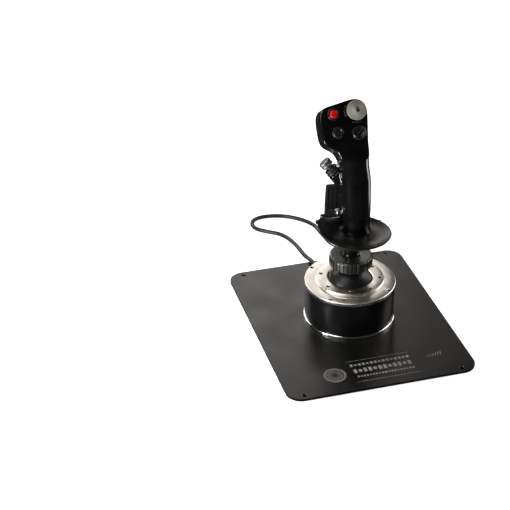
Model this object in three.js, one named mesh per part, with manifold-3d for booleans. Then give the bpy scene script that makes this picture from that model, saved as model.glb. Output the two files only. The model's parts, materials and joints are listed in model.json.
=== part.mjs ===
// Flight joystick: steel base plate, drum with a two-axis gimbal, and a grip with hats,
// buttons and a trigger.
// Millimetres, +Z up, +X to the pilot's right, +Y away from the pilot.
// The origin is on the resting surface, under the middle of the plate.
import * as THREE from 'three';
import { mergeVertices } from 'three/addons/utils/BufferGeometryUtils.js';
import Module from 'manifold-3d';

const wasm = await Module();
wasm.setup();

// ---- driving dimensions ----
const GAP = 0.3; // working gap between neighbouring pieces
const FOOT_H = 1.5;
const FOOT_R = 9;
const PLATE_W = 226;
const PLATE_D = 269;
const PLATE_T = 3;
const PLATE_CORNER_R = 18;
const PLATE_TOP = FOOT_H + PLATE_T;
const HOLE_X = 94;
const HOLE_Y = 127.5;
const HOLE_R = 2.3;

const AXIS_X = 5; // drum axis on the plate
const AXIS_Y = 10.7;
const DRUM_R = 53.2;
const DRUM_WALL = 3;
const FOOT_RING_R = 54.7;
const FOOT_RING_H = 3;
const TOP_RING_R = 54.1;
const TOP_RING_T = 4;
const TOP_RING_Z = 54.7; // upper face
const TOP_RING_BORE = 31;
const RAISED_RING_R = 40.8;
const RAISED_RING_Z = 58.1;
const PIVOT_Z = 46;
const DOME_R = 28.4;
const DOME_WALL = 2;
const SHAFT_R = 6.5;
const SHAFT_BOTTOM = 26;
const SHAFT_TOP = 112;
const NUT_R = 25.6;
const NUT_Z0 = 76;
const NUT_Z1 = 89.6;
const NUT_RIBS = 40;
const NUT_RIB_DEPTH = 1.1;
const BOSS_R = 10;

const REST_Z = 124.5; // rim height of the palm rest
const REST_A = 43;
const REST_B = 38.5;
const REST_AT = new THREE.Vector2(0.2, -8);
const REST_TURN = THREE.MathUtils.degToRad(-20);
const REST_WING = 11; // extra height of the raised left wing

const WALL = 2.6; // wall of the grip shells
const SPLIT_X = -4; // parting plane of the two grip halves
const COVER_T = 7; // thickness of the head cover
const HEAD_DEPTH = 36;

const CORD_D = 5.2;
const GLAND_Z = 14.4;
const COIL_AT = new THREE.Vector2(71, 187);
const COIL_R = 29;
const COIL_W = 20.8;
const COIL_H = 14.4;
const PLUG_OFFSET_Y = 24; // the plug lies across the near side of the coil

// Stations up the grip column: height, centre x, centre y, half width, half depth.
const COLUMN = [
  [REST_Z + 1, 4.4, 3.7, 16.3, 21],
  [138, 3.8, 3.5, 17.4, 22],
  [155, 2.8, 3.2, 18.4, 23],
  [190, 1.0, 2.8, 18.6, 23.5],
  [212, -2.0, 0.2, 17.6, 22.8],
  [228, -3.6, -3, 17.2, 22.6],
  [246, -6, -2, 17, 21],
];

// Face of the head: origin at the trim hat, right and up along the face, and out of it.
const FACE_AT = new THREE.Vector3(-1.7, -2.2, 277.4);
const FACE_OUT = new THREE.Vector3(-0.117, -0.831, 0.545).normalize();
const FACE_RIGHT = new THREE.Vector3(0.9903, -0.1392, 0).normalize();
const FACE_UP = new THREE.Vector3().crossVectors(FACE_OUT, FACE_RIGHT).normalize();

const TRIM_HAT = new THREE.Vector2(0, 0);
const RELEASE_BUTTON = new THREE.Vector2(-25.5, -2.9);
const LEFT_HAT = new THREE.Vector2(-22.5, -23.8);
const RIGHT_HAT = new THREE.Vector2(1.3, -25);

const THUMB_DIR = new THREE.Vector3(-0.62, 0.3, 0.72).normalize();
const THUMB_CAP_AT = new THREE.Vector3(-30.5, 12, 208);
const SIDE_DIR = new THREE.Vector3(-1, -0.18, 0).normalize();
const MODE_AT = new THREE.Vector3(-18.9, 0.6, 209.6);
const STEER_AT = new THREE.Vector3(-16.2, 0.2, 149);

const PADDLE_HINGE = new THREE.Vector3(-10.5, 31.5, 126.5); // middle of the paddle's pin
const PADDLE_W = 26;
const PADDLE_T = 3;
const PADDLE_H = 42; // reach of the paddle above its pin
const PADDLE_LUG = 3.7; // thickness of each bracket lug
const BRACKET_D = 6.2; // reach of the bracket from the pin forward to the grip
const TRIGGER_HINGE = new THREE.Vector3(-3, 30, 240);
const TRIGGER_W = 11;
const TRIGGER_LUG = 3.5;
const PIVOT_BORE_R = 1.6; // bore for the trigger's and the paddle's pins
const PIVOT_PIN_R = 1.3;

// ---- materials ----
function finish(color, roughness, metalness) {
  return new THREE.MeshStandardMaterial({ color, roughness, metalness });
}
const satinBlack = finish(0x24221f, 0.42, 0.5);
const glossBlack = finish(0x0a0a0b, 0.12, 0.1);
const gripBlack = finish(0x0c0c0d, 0.22, 0.0);
const hatBlack = finish(0x141414, 0.35, 0.0);
const aluminium = finish(0xd8d2c8, 0.32, 1.0);
const polished = finish(0xe2e0dc, 0.12, 1.0);
const darkSteel = finish(0x4a4a46, 0.45, 0.8);
const steel = finish(0x9a9a98, 0.3, 1.0);
const trimGrey = finish(0x76776c, 0.38, 0.6);
const capGrey = finish(0xb9b9b6, 0.3, 0.9);
const red = finish(0xd0121a, 0.3, 0.0);
const rubber = finish(0x161616, 0.85, 0.0);
const boardGreen = finish(0x1d4a2b, 0.5, 0.0);
const brass = finish(0xb08d4a, 0.35, 1.0);

// ---- solids ----
const X_DIR = new THREE.Vector3(1, 0, 0);
const Y_DIR = new THREE.Vector3(0, 1, 0);
const Z_DIR = new THREE.Vector3(0, 0, 1);

function solid(geometry) {
  const bare = geometry.clone();
  bare.deleteAttribute('normal');
  bare.deleteAttribute('uv');
  const merged = mergeVertices(bare, 1e-4);
  const index = merged.index.array;
  const keep = [];
  for (let i = 0; i < index.length; i += 3) {
    const [a, b, c] = [index[i], index[i + 1], index[i + 2]];
    if (a !== b && b !== c && a !== c) keep.push(a, b, c);
  }
  const vertProperties = new Float32Array(merged.attributes.position.array);
  return new wasm.Manifold(new wasm.Mesh({ numProp: 3, vertProperties, triVerts: new Uint32Array(keep) }));
}

function geometryOf(manifold) {
  const out = manifold.getMesh();
  const geometry = new THREE.BufferGeometry();
  geometry.setAttribute('position', new THREE.BufferAttribute(new Float32Array(out.vertProperties), 3));
  geometry.setIndex(Array.from(out.triVerts));
  geometry.computeVertexNormals();
  return geometry;
}

function cut(base, ...tools) {
  let result = solid(base);
  for (const tool of tools) result = result.subtract(solid(tool));
  return geometryOf(result);
}

function join(base, ...others) {
  let result = solid(base);
  for (const other of others) result = result.add(solid(other));
  return geometryOf(result);
}

// Turned piece: a profile of [radius, height] pairs about Z.
function turned(profile, segments = 32) {
  const points = profile.map(([r, z]) => new THREE.Vector2(r, z));
  const geometry = new THREE.LatheGeometry(points, segments);
  geometry.rotateX(Math.PI / 2);
  return geometry;
}

// Profiles run up the outside, then down the inside, so that the faces look out.
function ring(outer, inner, z0, z1, segments = 32) {
  return turned([[inner, z0], [outer, z0], [outer, z1], [inner, z1], [inner, z0]], segments);
}

function rod(radius, z0, z1, segments = 20) {
  return turned([[0, z0], [radius, z0], [radius, z1], [0, z1]], segments);
}

function extrude(shape, depth, curveSegments) {
  return new THREE.ExtrudeGeometry(shape, { depth, bevelEnabled: false, curveSegments });
}

function block(x0, x1, y0, y1, z0, z1) {
  const geometry = new THREE.BoxGeometry(x1 - x0, y1 - y0, z1 - z0);
  geometry.translate((x0 + x1) / 2, (y0 + y1) / 2, (z0 + z1) / 2);
  return geometry;
}

// Turns a piece made about +Z so that it lies along a direction from a point.
function along(geometry, at, direction) {
  const turn = new THREE.Quaternion().setFromUnitVectors(Z_DIR, direction.clone().normalize());
  return geometry.applyQuaternion(turn).translate(at.x, at.y, at.z);
}

// Turns a piece made with +X right, +Y up and +Z out so that it sits on the face of the head.
function onFace(geometry, spot = new THREE.Vector2()) {
  const basis = new THREE.Matrix4().makeBasis(FACE_RIGHT, FACE_UP, FACE_OUT);
  const at = facePoint(spot, 0);
  return geometry.applyMatrix4(basis).translate(at.x, at.y, at.z);
}

function facePoint(spot, out) {
  return FACE_AT.clone()
    .addScaledVector(FACE_RIGHT, spot.x)
    .addScaledVector(FACE_UP, spot.y)
    .addScaledVector(FACE_OUT, out);
}

// ---- scene graph ----
const joystick = new THREE.Group();
const drum = new THREE.Group(); // everything placed about the drum's axis
drum.position.set(AXIS_X, AXIS_Y, 0);
joystick.add(drum);

function add(group, name, geometry, material) {
  const mesh = new THREE.Mesh(geometry, material);
  mesh.name = name;
  group.add(mesh);
  return mesh;
}

// ---- base ----
function roundedRectangle(width, depth, radius) {
  const shape = new THREE.Shape();
  const [x, y] = [width / 2, depth / 2];
  shape.moveTo(-x + radius, -y);
  shape.lineTo(x - radius, -y);
  shape.absarc(x - radius, -y + radius, radius, -Math.PI / 2, 0);
  shape.lineTo(x, y - radius);
  shape.absarc(x - radius, y - radius, radius, 0, Math.PI / 2);
  shape.lineTo(-x + radius, y);
  shape.absarc(-x + radius, y - radius, radius, Math.PI / 2, Math.PI);
  shape.lineTo(-x, -y + radius);
  shape.absarc(-x + radius, -y + radius, radius, Math.PI, Math.PI * 1.5);
  return shape;
}

function basePlate() {
  const shape = roundedRectangle(PLATE_W, PLATE_D, PLATE_CORNER_R);
  for (const sx of [-1, 1]) {
    for (const sy of [-1, 1]) {
      const hole = new THREE.Path();
      hole.absarc(sx * HOLE_X, sy * HOLE_Y, HOLE_R, 0, Math.PI * 2);
      shape.holes.push(hole);
    }
  }
  return extrude(shape, PLATE_T, 6).translate(0, 0, FOOT_H);
}

function buildBase() {
  add(joystick, 'base_plate', basePlate(), satinBlack);
  const spots = { front_left: [-1, -1], front_right: [1, -1], rear_left: [-1, 1], rear_right: [1, 1] };
  for (const [place, [sx, sy]] of Object.entries(spots)) {
    const foot = rod(FOOT_R, 0, FOOT_H - GAP / 2, 20);
    foot.translate(sx * (PLATE_W / 2 - FOOT_R - 16), sy * (PLATE_D / 2 - FOOT_R - 24), 0);
    add(joystick, `foot_${place}`, foot, rubber);
  }
}

// ---- drum ----
const DRUM_Z0 = PLATE_TOP + GAP + FOOT_RING_H + GAP;
const DRUM_Z1 = TOP_RING_Z - TOP_RING_T - GAP;

function cordHole(radius) {
  return along(rod(radius, 30, 70), new THREE.Vector3(0, 0, GLAND_Z), Y_DIR);
}

function raisedRing() {
  const seat = DOME_R + 0.5;
  const z0 = TOP_RING_Z + GAP;
  const bore = (z) => Math.sqrt(seat * seat - (z - PIVOT_Z) * (z - PIVOT_Z));
  const zMid = (z0 + RAISED_RING_Z) / 2;
  return turned([
    [bore(z0), z0], [RAISED_RING_R, z0], [RAISED_RING_R, RAISED_RING_Z - 0.5],
    [RAISED_RING_R - 0.5, RAISED_RING_Z], [bore(RAISED_RING_Z), RAISED_RING_Z],
    [bore(zMid), zMid], [bore(z0), z0],
  ], 36);
}

function buildDrum() {
  const ringZ0 = PLATE_TOP + GAP;
  const footRing = turned([
    [46, ringZ0], [FOOT_RING_R, ringZ0], [FOOT_RING_R, ringZ0 + FOOT_RING_H - 0.8],
    [FOOT_RING_R - 0.8, ringZ0 + FOOT_RING_H], [46, ringZ0 + FOOT_RING_H], [46, ringZ0],
  ], 40);
  add(drum, 'drum_foot_ring', footRing, polished);
  const shell = ring(DRUM_R, DRUM_R - DRUM_WALL, DRUM_Z0, DRUM_Z1, 40);
  add(drum, 'drum_shell', cut(shell, cordHole(4.4)), glossBlack);
  const screwR = 51;
  const screwAngles = [135, 225, 315, 45].map(THREE.MathUtils.degToRad);
  const z0 = TOP_RING_Z - TOP_RING_T;
  const topRing = ring(TOP_RING_R, TOP_RING_BORE, z0, TOP_RING_Z, 40);
  const sockets = screwAngles.map((a) => {
    return rod(1.9, z0 + 0.5, TOP_RING_Z + 1, 10).translate(screwR * Math.cos(a), screwR * Math.sin(a), 0);
  });
  add(drum, 'top_ring', cut(topRing, ...sockets), aluminium);
  screwAngles.forEach((a, i) => {
    const screw = rod(1.6, z0 + 0.8, TOP_RING_Z - 0.3, 8);
    screw.translate(screwR * Math.cos(a), screwR * Math.sin(a), 0);
    add(drum, `top_ring_screw_${i + 1}`, screw, darkSteel);
  });
  add(drum, 'retaining_ring', raisedRing(), aluminium);
}

// ---- gimbal ----
const FRAME_R = 44;
const FRAME_FLANGE_Z = 32;
const UPRIGHT_X0 = 17;
const UPRIGHT_X1 = 21;
const PIN_R = 1.6;
const BUSH_R = 2.8;
const SHAFT_WELL_R = 16;

function gimbalFrame() {
  const cup = turned([
    [FRAME_R - 3, PLATE_TOP + GAP], [FRAME_R, PLATE_TOP + GAP], [FRAME_R, FRAME_FLANGE_Z],
    [SHAFT_WELL_R, FRAME_FLANGE_Z], [SHAFT_WELL_R, FRAME_FLANGE_Z - 3], [FRAME_R - 3, FRAME_FLANGE_Z - 3],
    [FRAME_R - 3, PLATE_TOP + GAP],
  ], 32);
  const uprights = [-1, 1].map((side) => {
    const xs = [side * UPRIGHT_X0, side * UPRIGHT_X1].sort((a, b) => a - b);
    return block(xs[0], xs[1], -6, 6, FRAME_FLANGE_Z - 1, PIVOT_Z + 6);
  });
  const bore = along(rod(BUSH_R + GAP, -30, 30), new THREE.Vector3(0, 0, PIVOT_Z), X_DIR);
  return cut(join(cup, ...uprights), bore, cordHole(4.4));
}

function helix(radius, wire, z0, z1, turns) {
  const points = [];
  const steps = turns * 12;
  for (let i = 0; i <= steps; i += 1) {
    const a = (i / steps) * turns * Math.PI * 2;
    points.push(new THREE.Vector3(radius * Math.cos(a), radius * Math.sin(a), z0 + ((z1 - z0) * i) / steps));
  }
  const section = new THREE.Shape();
  section.absarc(0, 0, wire, 0, Math.PI * 2);
  const extrudePath = new THREE.CatmullRomCurve3(points);
  return new THREE.ExtrudeGeometry(section, { steps, extrudePath, curveSegments: 3 });
}

function gimbalRing() {
  const body = ring(15.4, 11, PIVOT_Z - 4, PIVOT_Z + 4, 24);
  const at = new THREE.Vector3(0, 0, PIVOT_Z);
  const stubs = [-1, 1].map((side) => {
    return along(rod(PIN_R, 14.5, UPRIGHT_X1, 12), at, X_DIR.clone().multiplyScalar(side));
  });
  return cut(join(body, ...stubs), along(rod(PIN_R + GAP, -30, 30, 12), at, Y_DIR));
}

function domeShell() {
  const outer = [];
  const inner = [];
  const steps = 6;
  const holeR = SHAFT_R + GAP;
  for (let i = 0; i <= steps; i += 1) {
    const reach = Math.acos(holeR / DOME_R);
    const a = (reach * i) / steps;
    outer.push([DOME_R * Math.cos(a), PIVOT_Z + DOME_R * Math.sin(a)]);
    const reachIn = Math.acos(holeR / (DOME_R - DOME_WALL));
    const b = reachIn - (reachIn * i) / steps;
    inner.push([(DOME_R - DOME_WALL) * Math.cos(b), PIVOT_Z + (DOME_R - DOME_WALL) * Math.sin(b)]);
  }
  return turned([...outer, ...inner, outer[0]], 30);
}

function collarNut() {
  const shape = new THREE.Shape();
  const corners = NUT_RIBS * 2;
  for (let i = 0; i <= corners; i += 1) {
    const a = (i / corners) * Math.PI * 2;
    const r = NUT_R - (i % 2) * NUT_RIB_DEPTH;
    if (i === 0) shape.moveTo(r, 0);
    else shape.lineTo(r * Math.cos(a), r * Math.sin(a));
  }
  const bore = new THREE.Path();
  bore.absarc(0, 0, BOSS_R + GAP, 0, Math.PI * 2);
  shape.holes.push(bore);
  return extrude(shape, NUT_Z1 - NUT_Z0, 12).translate(0, 0, NUT_Z0);
}

function buildGimbal() {
  add(drum, 'gimbal_frame', gimbalFrame(), darkSteel);
  const at = new THREE.Vector3(0, 0, PIVOT_Z);
  for (const [side, sx] of [['left', -1], ['right', 1]]) {
    const bush = ring(BUSH_R, PIN_R + GAP, UPRIGHT_X0 - 0.2, UPRIGHT_X1 + 0.2, 16);
    add(drum, `pitch_bush_${side}`, along(bush, at, X_DIR.clone().multiplyScalar(sx)), brass);
  }
  add(drum, 'centring_spring', helix(20, 1.2, 7, 24.6, 3), steel);
  add(drum, 'spring_plate', ring(24, SHAFT_WELL_R, 26.4, 28, 32), darkSteel);
  const board = join(block(-12, 12, -12, 12, 12, 13.6), block(-3, 3, -3, 3, 13.4, 15));
  add(drum, 'sensor_board', board, boardGreen);
  const mainBoard = join(block(-12, 12, 45.4, 47, 22, 44), block(-5, 5, 46.8, 48.2, 30, 38));
  add(drum, 'main_board', mainBoard, boardGreen);
  add(drum, 'gimbal_ring', gimbalRing(), steel);
  const rollBore = along(rod(PIN_R + GAP, -30, 30, 12), at, Y_DIR);
  add(drum, 'stick_shaft', cut(rod(SHAFT_R, SHAFT_BOTTOM, SHAFT_TOP, 20), rollBore), steel);
  add(drum, 'roll_pin', along(rod(PIN_R, -14.8, 14.8, 12), at, Y_DIR), steel);
  add(drum, 'sensor_magnet', rod(4, SHAFT_BOTTOM - GAP - 3, SHAFT_BOTTOM - GAP, 16), darkSteel);
  add(drum, 'ball_dome', domeShell(), glossBlack);
  add(drum, 'thread_boss', ring(BOSS_R, SHAFT_R + GAP, PIVOT_Z + DOME_R + 0.4, NUT_Z1 - 0.6, 24), steel);
  add(drum, 'collar_nut', collarNut(), darkSteel);
}

// ---- grip ----
// A dished oval disc with a lip; its left side rises into a wing.
function restHeight(x, y, z) {
  const side = Math.max(0, -x / REST_A);
  return z + REST_WING * side * side * side;
}

function palmRest() {
  const geometry = turned([
    [0.34, -9], [0.6, -8], [0.86, -5.5], [0.985, -2.2], [1, -0.6], [0.97, 0], [0.93, -0.5],
    [0.82, -2.2], [0.6, -2.6], [0.34, -1.6], [0.34, -9],
  ], 32);
  const position = geometry.attributes.position;
  const point = new THREE.Vector3();
  for (let i = 0; i < position.count; i += 1) {
    point.fromBufferAttribute(position, i);
    const [x, y] = [point.x * REST_A, point.y * REST_B];
    position.setXYZ(i, x, y, restHeight(x, y, point.z + REST_Z));
  }
  geometry.rotateZ(REST_TURN);
  geometry.translate(REST_AT.x, REST_AT.y, 0);
  const h = PADDLE_HINGE;
  const half = PADDLE_W / 2 + PADDLE_LUG + 2 * GAP;
  const front = h.y - BRACKET_D - GAP;
  return cut(geometry, block(h.x - half, h.x + half, front, h.y + 30, REST_Z - 20, REST_Z + 30));
}

function gripNeck() {
  const z0 = NUT_Z1 + 0.4;
  const top = REST_Z - 9 - GAP;
  const bore = SHAFT_R + GAP;
  const geometry = turned([
    [bore, z0], [BOSS_R, z0], [BOSS_R - 0.6, z0 + 7], [12, z0 + 12], [14.4, top], [bore, top], [bore, z0],
  ], 28);
  return geometry;
}

// Interpolates the column's stations at a height.
function columnAt(z) {
  let i = 0;
  while (i < COLUMN.length - 2 && COLUMN[i + 1][0] < z) i += 1;
  const [low, high] = [COLUMN[i], COLUMN[i + 1]];
  const t = THREE.MathUtils.clamp((z - low[0]) / (high[0] - low[0]), 0, 1);
  return low.map((value, k) => value + (high[k] - value) * t);
}

// The column as an unequal oval loft, made smaller all round by an inset.
function column(inset, z0, z1, segments, rings) {
  const profile = [[0, z0]];
  for (let i = 0; i <= rings; i += 1) profile.push([1, z0 + ((z1 - z0) * i) / rings]);
  profile.push([0, z1]);
  const geometry = turned(profile, segments);
  const position = geometry.attributes.position;
  for (let i = 0; i < position.count; i += 1) {
    const z = position.getZ(i);
    const [, cx, cy, a, b] = columnAt(z);
    position.setXY(i, cx + position.getX(i) * (a - inset), cy + position.getY(i) * (b - inset));
  }
  return geometry;
}

// The head: the outline of its face, drawn back along the normal with rounded edges.
function headOutline(inset) {
  const corners = [
    [10, -46], [12.2, -22], [13, -2], [10.5, 6.5], [4, 11.8], [-4, 12.8], [-33, 5.6], [-39.5, 1.4],
    [-41.8, -6], [-40.4, -30], [-37.6, -36.5], [-31, -42], [-24, -50], [-8, -54],
  ];
  const middle = new THREE.Vector2(-14, -20);
  return new THREE.Shape(corners.map(([x, y]) => {
    const arm = new THREE.Vector2(x, y).sub(middle);
    return arm.multiplyScalar(1 - inset / arm.length()).add(middle);
  }));
}

function head(inset) {
  const round = 3.2;
  const geometry = new THREE.ExtrudeGeometry(headOutline(inset + round), {
    depth: HEAD_DEPTH - 2 * round - 2 * inset,
    bevelEnabled: true,
    bevelThickness: round,
    bevelSize: round,
    bevelSegments: 2,
  });
  return onFace(geometry.translate(0, 0, -HEAD_DEPTH + round + inset));
}

function slab(x0, x1) {
  return block(x0, x1, -90, 90, 90, 320);
}

function triggerLug(x0, x1) {
  const h = TRIGGER_HINGE;
  return block(h.x + x0, h.x + x1, 14, h.y + 5, h.z - 5, h.z + 7);
}

function gripParts() {
  const bottom = COLUMN[0][0];
  const lugIn = TRIGGER_W / 2 + 0.5;
  const lugOut = lugIn + TRIGGER_LUG;
  const outer = join(
    column(0, bottom, 246, 26, 10), head(0), triggerLug(-lugOut, -lugIn), triggerLug(lugIn, lugOut),
    along(rod(6.6, -8, 0, 20), STEER_AT.clone().addScaledVector(SIDE_DIR, 3), SIDE_DIR),
    along(rod(8.6, -8, 9.5, 24), THUMB_CAP_AT.clone().addScaledVector(THUMB_DIR, -24), THUMB_DIR),
  );
  const inner = join(column(WALL, bottom - 5, 244, 18, 5), head(WALL));
  const shell = solid(outer).subtract(solid(inner));
  const pinHole = solid(along(rod(PIVOT_BORE_R, -20, 20, 12), TRIGGER_HINGE, X_DIR));
  const holes = [
    solid(onFace(rod(6.4, -16, 6, 24), TRIM_HAT)), solid(onFace(rod(4.9, -16, 6, 20), RELEASE_BUTTON)),
    solid(onFace(rod(5, -16, 6, 20), LEFT_HAT)), solid(onFace(rod(5.6, -16, 6, 20), RIGHT_HAT)),
    solid(along(rod(3.1, -9, 8, 16), MODE_AT, SIDE_DIR)),
    solid(along(rod(4.7, -12, 8, 20), STEER_AT, SIDE_DIR)),
    solid(along(rod(4.2, -26, 2, 20), THUMB_CAP_AT.clone().addScaledVector(THUMB_DIR, -13), THUMB_DIR)),
    pinHole,
    solid(along(rod(9, -14.2, 14, 24), THUMB_CAP_AT, THUMB_DIR)),
  ];
  const body = holes.reduce((left, hole) => left.subtract(hole), shell);
  const front = solid(onFace(block(-80, 60, -60, 40, -COVER_T, 20)));
  const behind = solid(onFace(block(-80, 60, -160, 40, -160, -COVER_T - GAP)));
  const below = solid(onFace(block(-80, 60, -200, -60 - GAP, -160, 20)));
  const rear = body.intersect(behind.add(below));
  return {
    cover: geometryOf(body.intersect(front)),
    left: geometryOf(rear.intersect(solid(slab(-90, SPLIT_X - GAP / 2)))),
    right: geometryOf(rear.intersect(solid(slab(SPLIT_X + GAP / 2, 90)))),
  };
}

function buildGrip() {
  add(drum, 'grip_neck', gripNeck(), gripBlack);
  add(drum, 'palm_rest', palmRest(), gripBlack);
  const parts = gripParts();
  add(drum, 'grip_left_shell', parts.left, gripBlack);
  add(drum, 'grip_right_shell', parts.right, gripBlack);
  add(drum, 'head_cover', parts.cover, gripBlack);
  add(drum, 'grip_board', block(3, 4.6, -8, 12, 150, 205), boardGreen);
}

// ---- hats, buttons and levers ----
// A hat is a rocker on the first axis and a cap on the second.
function buildHat(name, spot, capProfile, material) {
  add(drum, `${name}_rocker`, onFace(rod(2.4, -5.2, -2.6, 14), spot), steel);
  add(drum, `${name}_cap`, onFace(turned(capProfile, 20), spot), material);
}

function buildControls() {
  buildHat('trim_hat', TRIM_HAT, [
    [0, -2.2], [3, -2.2], [3, 2.2], [10.6, 2.2], [11.4, 3.2], [10.8, 4.4],
    [6, 7], [1.9, 8.6], [1.6, 9.6], [0, 9.8],
  ], trimGrey);
  buildHat('left_hat', LEFT_HAT, [
    [0, -2.2], [2.6, -2.2], [2.6, 1.4], [6.2, 1.4], [6.6, 2.4], [6.2, 6], [5.2, 6.6], [0, 5.4],
  ], hatBlack);
  buildHat('right_hat', RIGHT_HAT, [
    [0, -2.2], [2.8, -2.2], [2.8, 1.4], [7.4, 1.4], [8, 2.2], [7.6, 5], [6.6, 5.6], [0, 3.2],
  ], hatBlack);
  add(drum, 'release_bezel', onFace(ring(6.8, 4.9, GAP, 1.7, 24), RELEASE_BUTTON), hatBlack);
  const releaseButton = turned([[0, -4], [4.5, -4], [4.5, 3], [3.8, 4], [0, 4.3]], 20);
  add(drum, 'release_button', onFace(releaseButton, RELEASE_BUTTON), red);

  const modeButton = turned([[0, -4], [2.75, -4], [2.75, 1.4], [2.2, 2], [0, 2.1]], 16);
  add(drum, 'mode_button', along(modeButton, MODE_AT, SIDE_DIR), steel);
  const steeringButton = turned([[0, -2], [4.35, -2], [4.35, 4.6], [3.7, 5.3], [0, 5.4]], 20);
  add(drum, 'steering_button', along(steeringButton, STEER_AT, SIDE_DIR), steel);

  const thumbBoss = turned([
    [4.6, -11.9], [8.6, -11.9], [7.4, -6.2], [6.6, -5.6], [4.6, -5.6], [4.6, -11.9],
  ], 24);
  const thumbBossAt = THUMB_CAP_AT.clone().addScaledVector(THUMB_DIR, -1.6);
  add(drum, 'thumb_hat_boss', along(thumbBoss, thumbBossAt, THUMB_DIR), hatBlack);
  const plunger = rod(3.8, -24, -9.6, 16);
  add(drum, 'thumb_hat_plunger', along(plunger, THUMB_CAP_AT, THUMB_DIR), steel);
  add(drum, 'thumb_hat_rocker', along(rod(2.6, -9.2, -7, 14), THUMB_CAP_AT, THUMB_DIR), steel);
  const thumbCap = turned([
    [0, -6.6], [3.2, -6.6], [3.2, -4.4], [6.6, -4.4], [7.3, -3.8], [7.3, 2.8], [6.6, 3.8], [0, 3.8],
  ], 24);
  add(drum, 'thumb_hat_cap', along(thumbCap, THUMB_CAP_AT, THUMB_DIR), capGrey);
}

// Side profile of the trigger: a knuckle on the pin and a curved blade below it.
function triggerBlade() {
  const shape = new THREE.Shape();
  shape.moveTo(-3.4, 0);
  shape.absarc(0, 0, 3.4, Math.PI, Math.PI * 2, true);
  shape.quadraticCurveTo(5, -12, 7.5, -21);
  shape.quadraticCurveTo(9, -27, 13, -30);
  shape.lineTo(11.5, -32);
  shape.quadraticCurveTo(5.5, -29, 3.5, -21);
  shape.quadraticCurveTo(1, -12, -3.4, 0);
  const hole = new THREE.Path();
  hole.absarc(0, 0, 1.6, 0, Math.PI * 2);
  shape.holes.push(hole);
  const geometry = extrude(shape, TRIGGER_W, 6);
  geometry.rotateX(Math.PI / 2);
  geometry.rotateZ(Math.PI / 2);
  return geometry.translate(TRIGGER_HINGE.x - TRIGGER_W / 2, TRIGGER_HINGE.y, TRIGGER_HINGE.z);
}

function buildLevers() {
  const pinBore = (at) => along(rod(PIVOT_BORE_R, -30, 30, 12), at, X_DIR);
  const triggerPinEnd = TRIGGER_W / 2 + GAP + TRIGGER_LUG;
  const triggerPin = rod(PIVOT_PIN_R, -triggerPinEnd, triggerPinEnd, 12);
  add(drum, 'trigger_pin', along(triggerPin, TRIGGER_HINGE, X_DIR), steel);
  add(drum, 'trigger', triggerBlade(), hatBlack);

  const h = PADDLE_HINGE;
  const half = PADDLE_W / 2;
  const thick = PADDLE_T / 2;
  const knuckle = along(rod(3, -half, half, 16), h, X_DIR);
  const plate = block(h.x - half, h.x + half, h.y - thick, h.y + thick, h.z - 1, h.z + PADDLE_H);
  add(drum, 'paddle_lever', cut(join(plate, knuckle), pinBore(h)), hatBlack);
  const lugIn = half + GAP;
  const lugOut = lugIn + PADDLE_LUG;
  add(drum, 'paddle_pin', along(rod(PIVOT_PIN_R, -lugOut, lugOut, 12), h, X_DIR), steel);
  const [y0, y1] = [h.y - BRACKET_D, h.y + 3.5];
  const lugs = [[-lugOut, -lugIn], [lugIn, lugOut]].map(([x0, x1]) => {
    return block(h.x + x0, h.x + x1, y0, y1, h.z - 7, h.z + 3.2);
  });
  const bridge = block(h.x - lugOut, h.x + lugOut, y0, y1, h.z - 9, h.z - 4);
  add(drum, 'paddle_bracket', cut(join(bridge, ...lugs), pinBore(h)), gripBlack);
}

// ---- cord ----
const CORD_R = CORD_D / 2;
const GLAND_END = 74; // distance of the gland's tip behind the drum's axis

// Hand-chosen route of the uncoiled stretch: over the plate, off its rear edge, round to the coil.
const CORD_ROUTE = [
  [5, AXIS_Y + GLAND_END + GAP, GLAND_Z], [4.7, 92, 13.6], [3.6, 102, 11], [1.6, 113, 8.4], [-1.3, 125, 7.3],
  [-3.8, 135, 7.3], [-4.9, 143, 5.9], [-5.8, 154, 3.5], [-6.6, 166, 2.9], [-8, 178, 2.8], [-11.1, 193, 2.8],
  [-15.6, 205, 2.8], [-22, 213.8, 2.8], [-30, 220, 2.8], [-38, 226, 2.8], [-46, 234, 2.8], [-49, 245, 2.8],
  [-44, 256, 2.8], [-33, 261, 2.8], [-18, 260.5, 2.8], [-2, 255.5, 2.8], [12, 246, 2.8], [23, 234, 2.8],
  [30, 220, 2.8], [32, 204, 2.8],
];

function cordRun() {
  const path = new THREE.CatmullRomCurve3(CORD_ROUTE.map((p) => new THREE.Vector3(...p)));
  const section = new THREE.Shape();
  section.absarc(0, 0, CORD_R, 0, Math.PI * 2);
  return new THREE.ExtrudeGeometry(section, { steps: 42, extrudePath: path, curveSegments: 4 });
}

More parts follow.
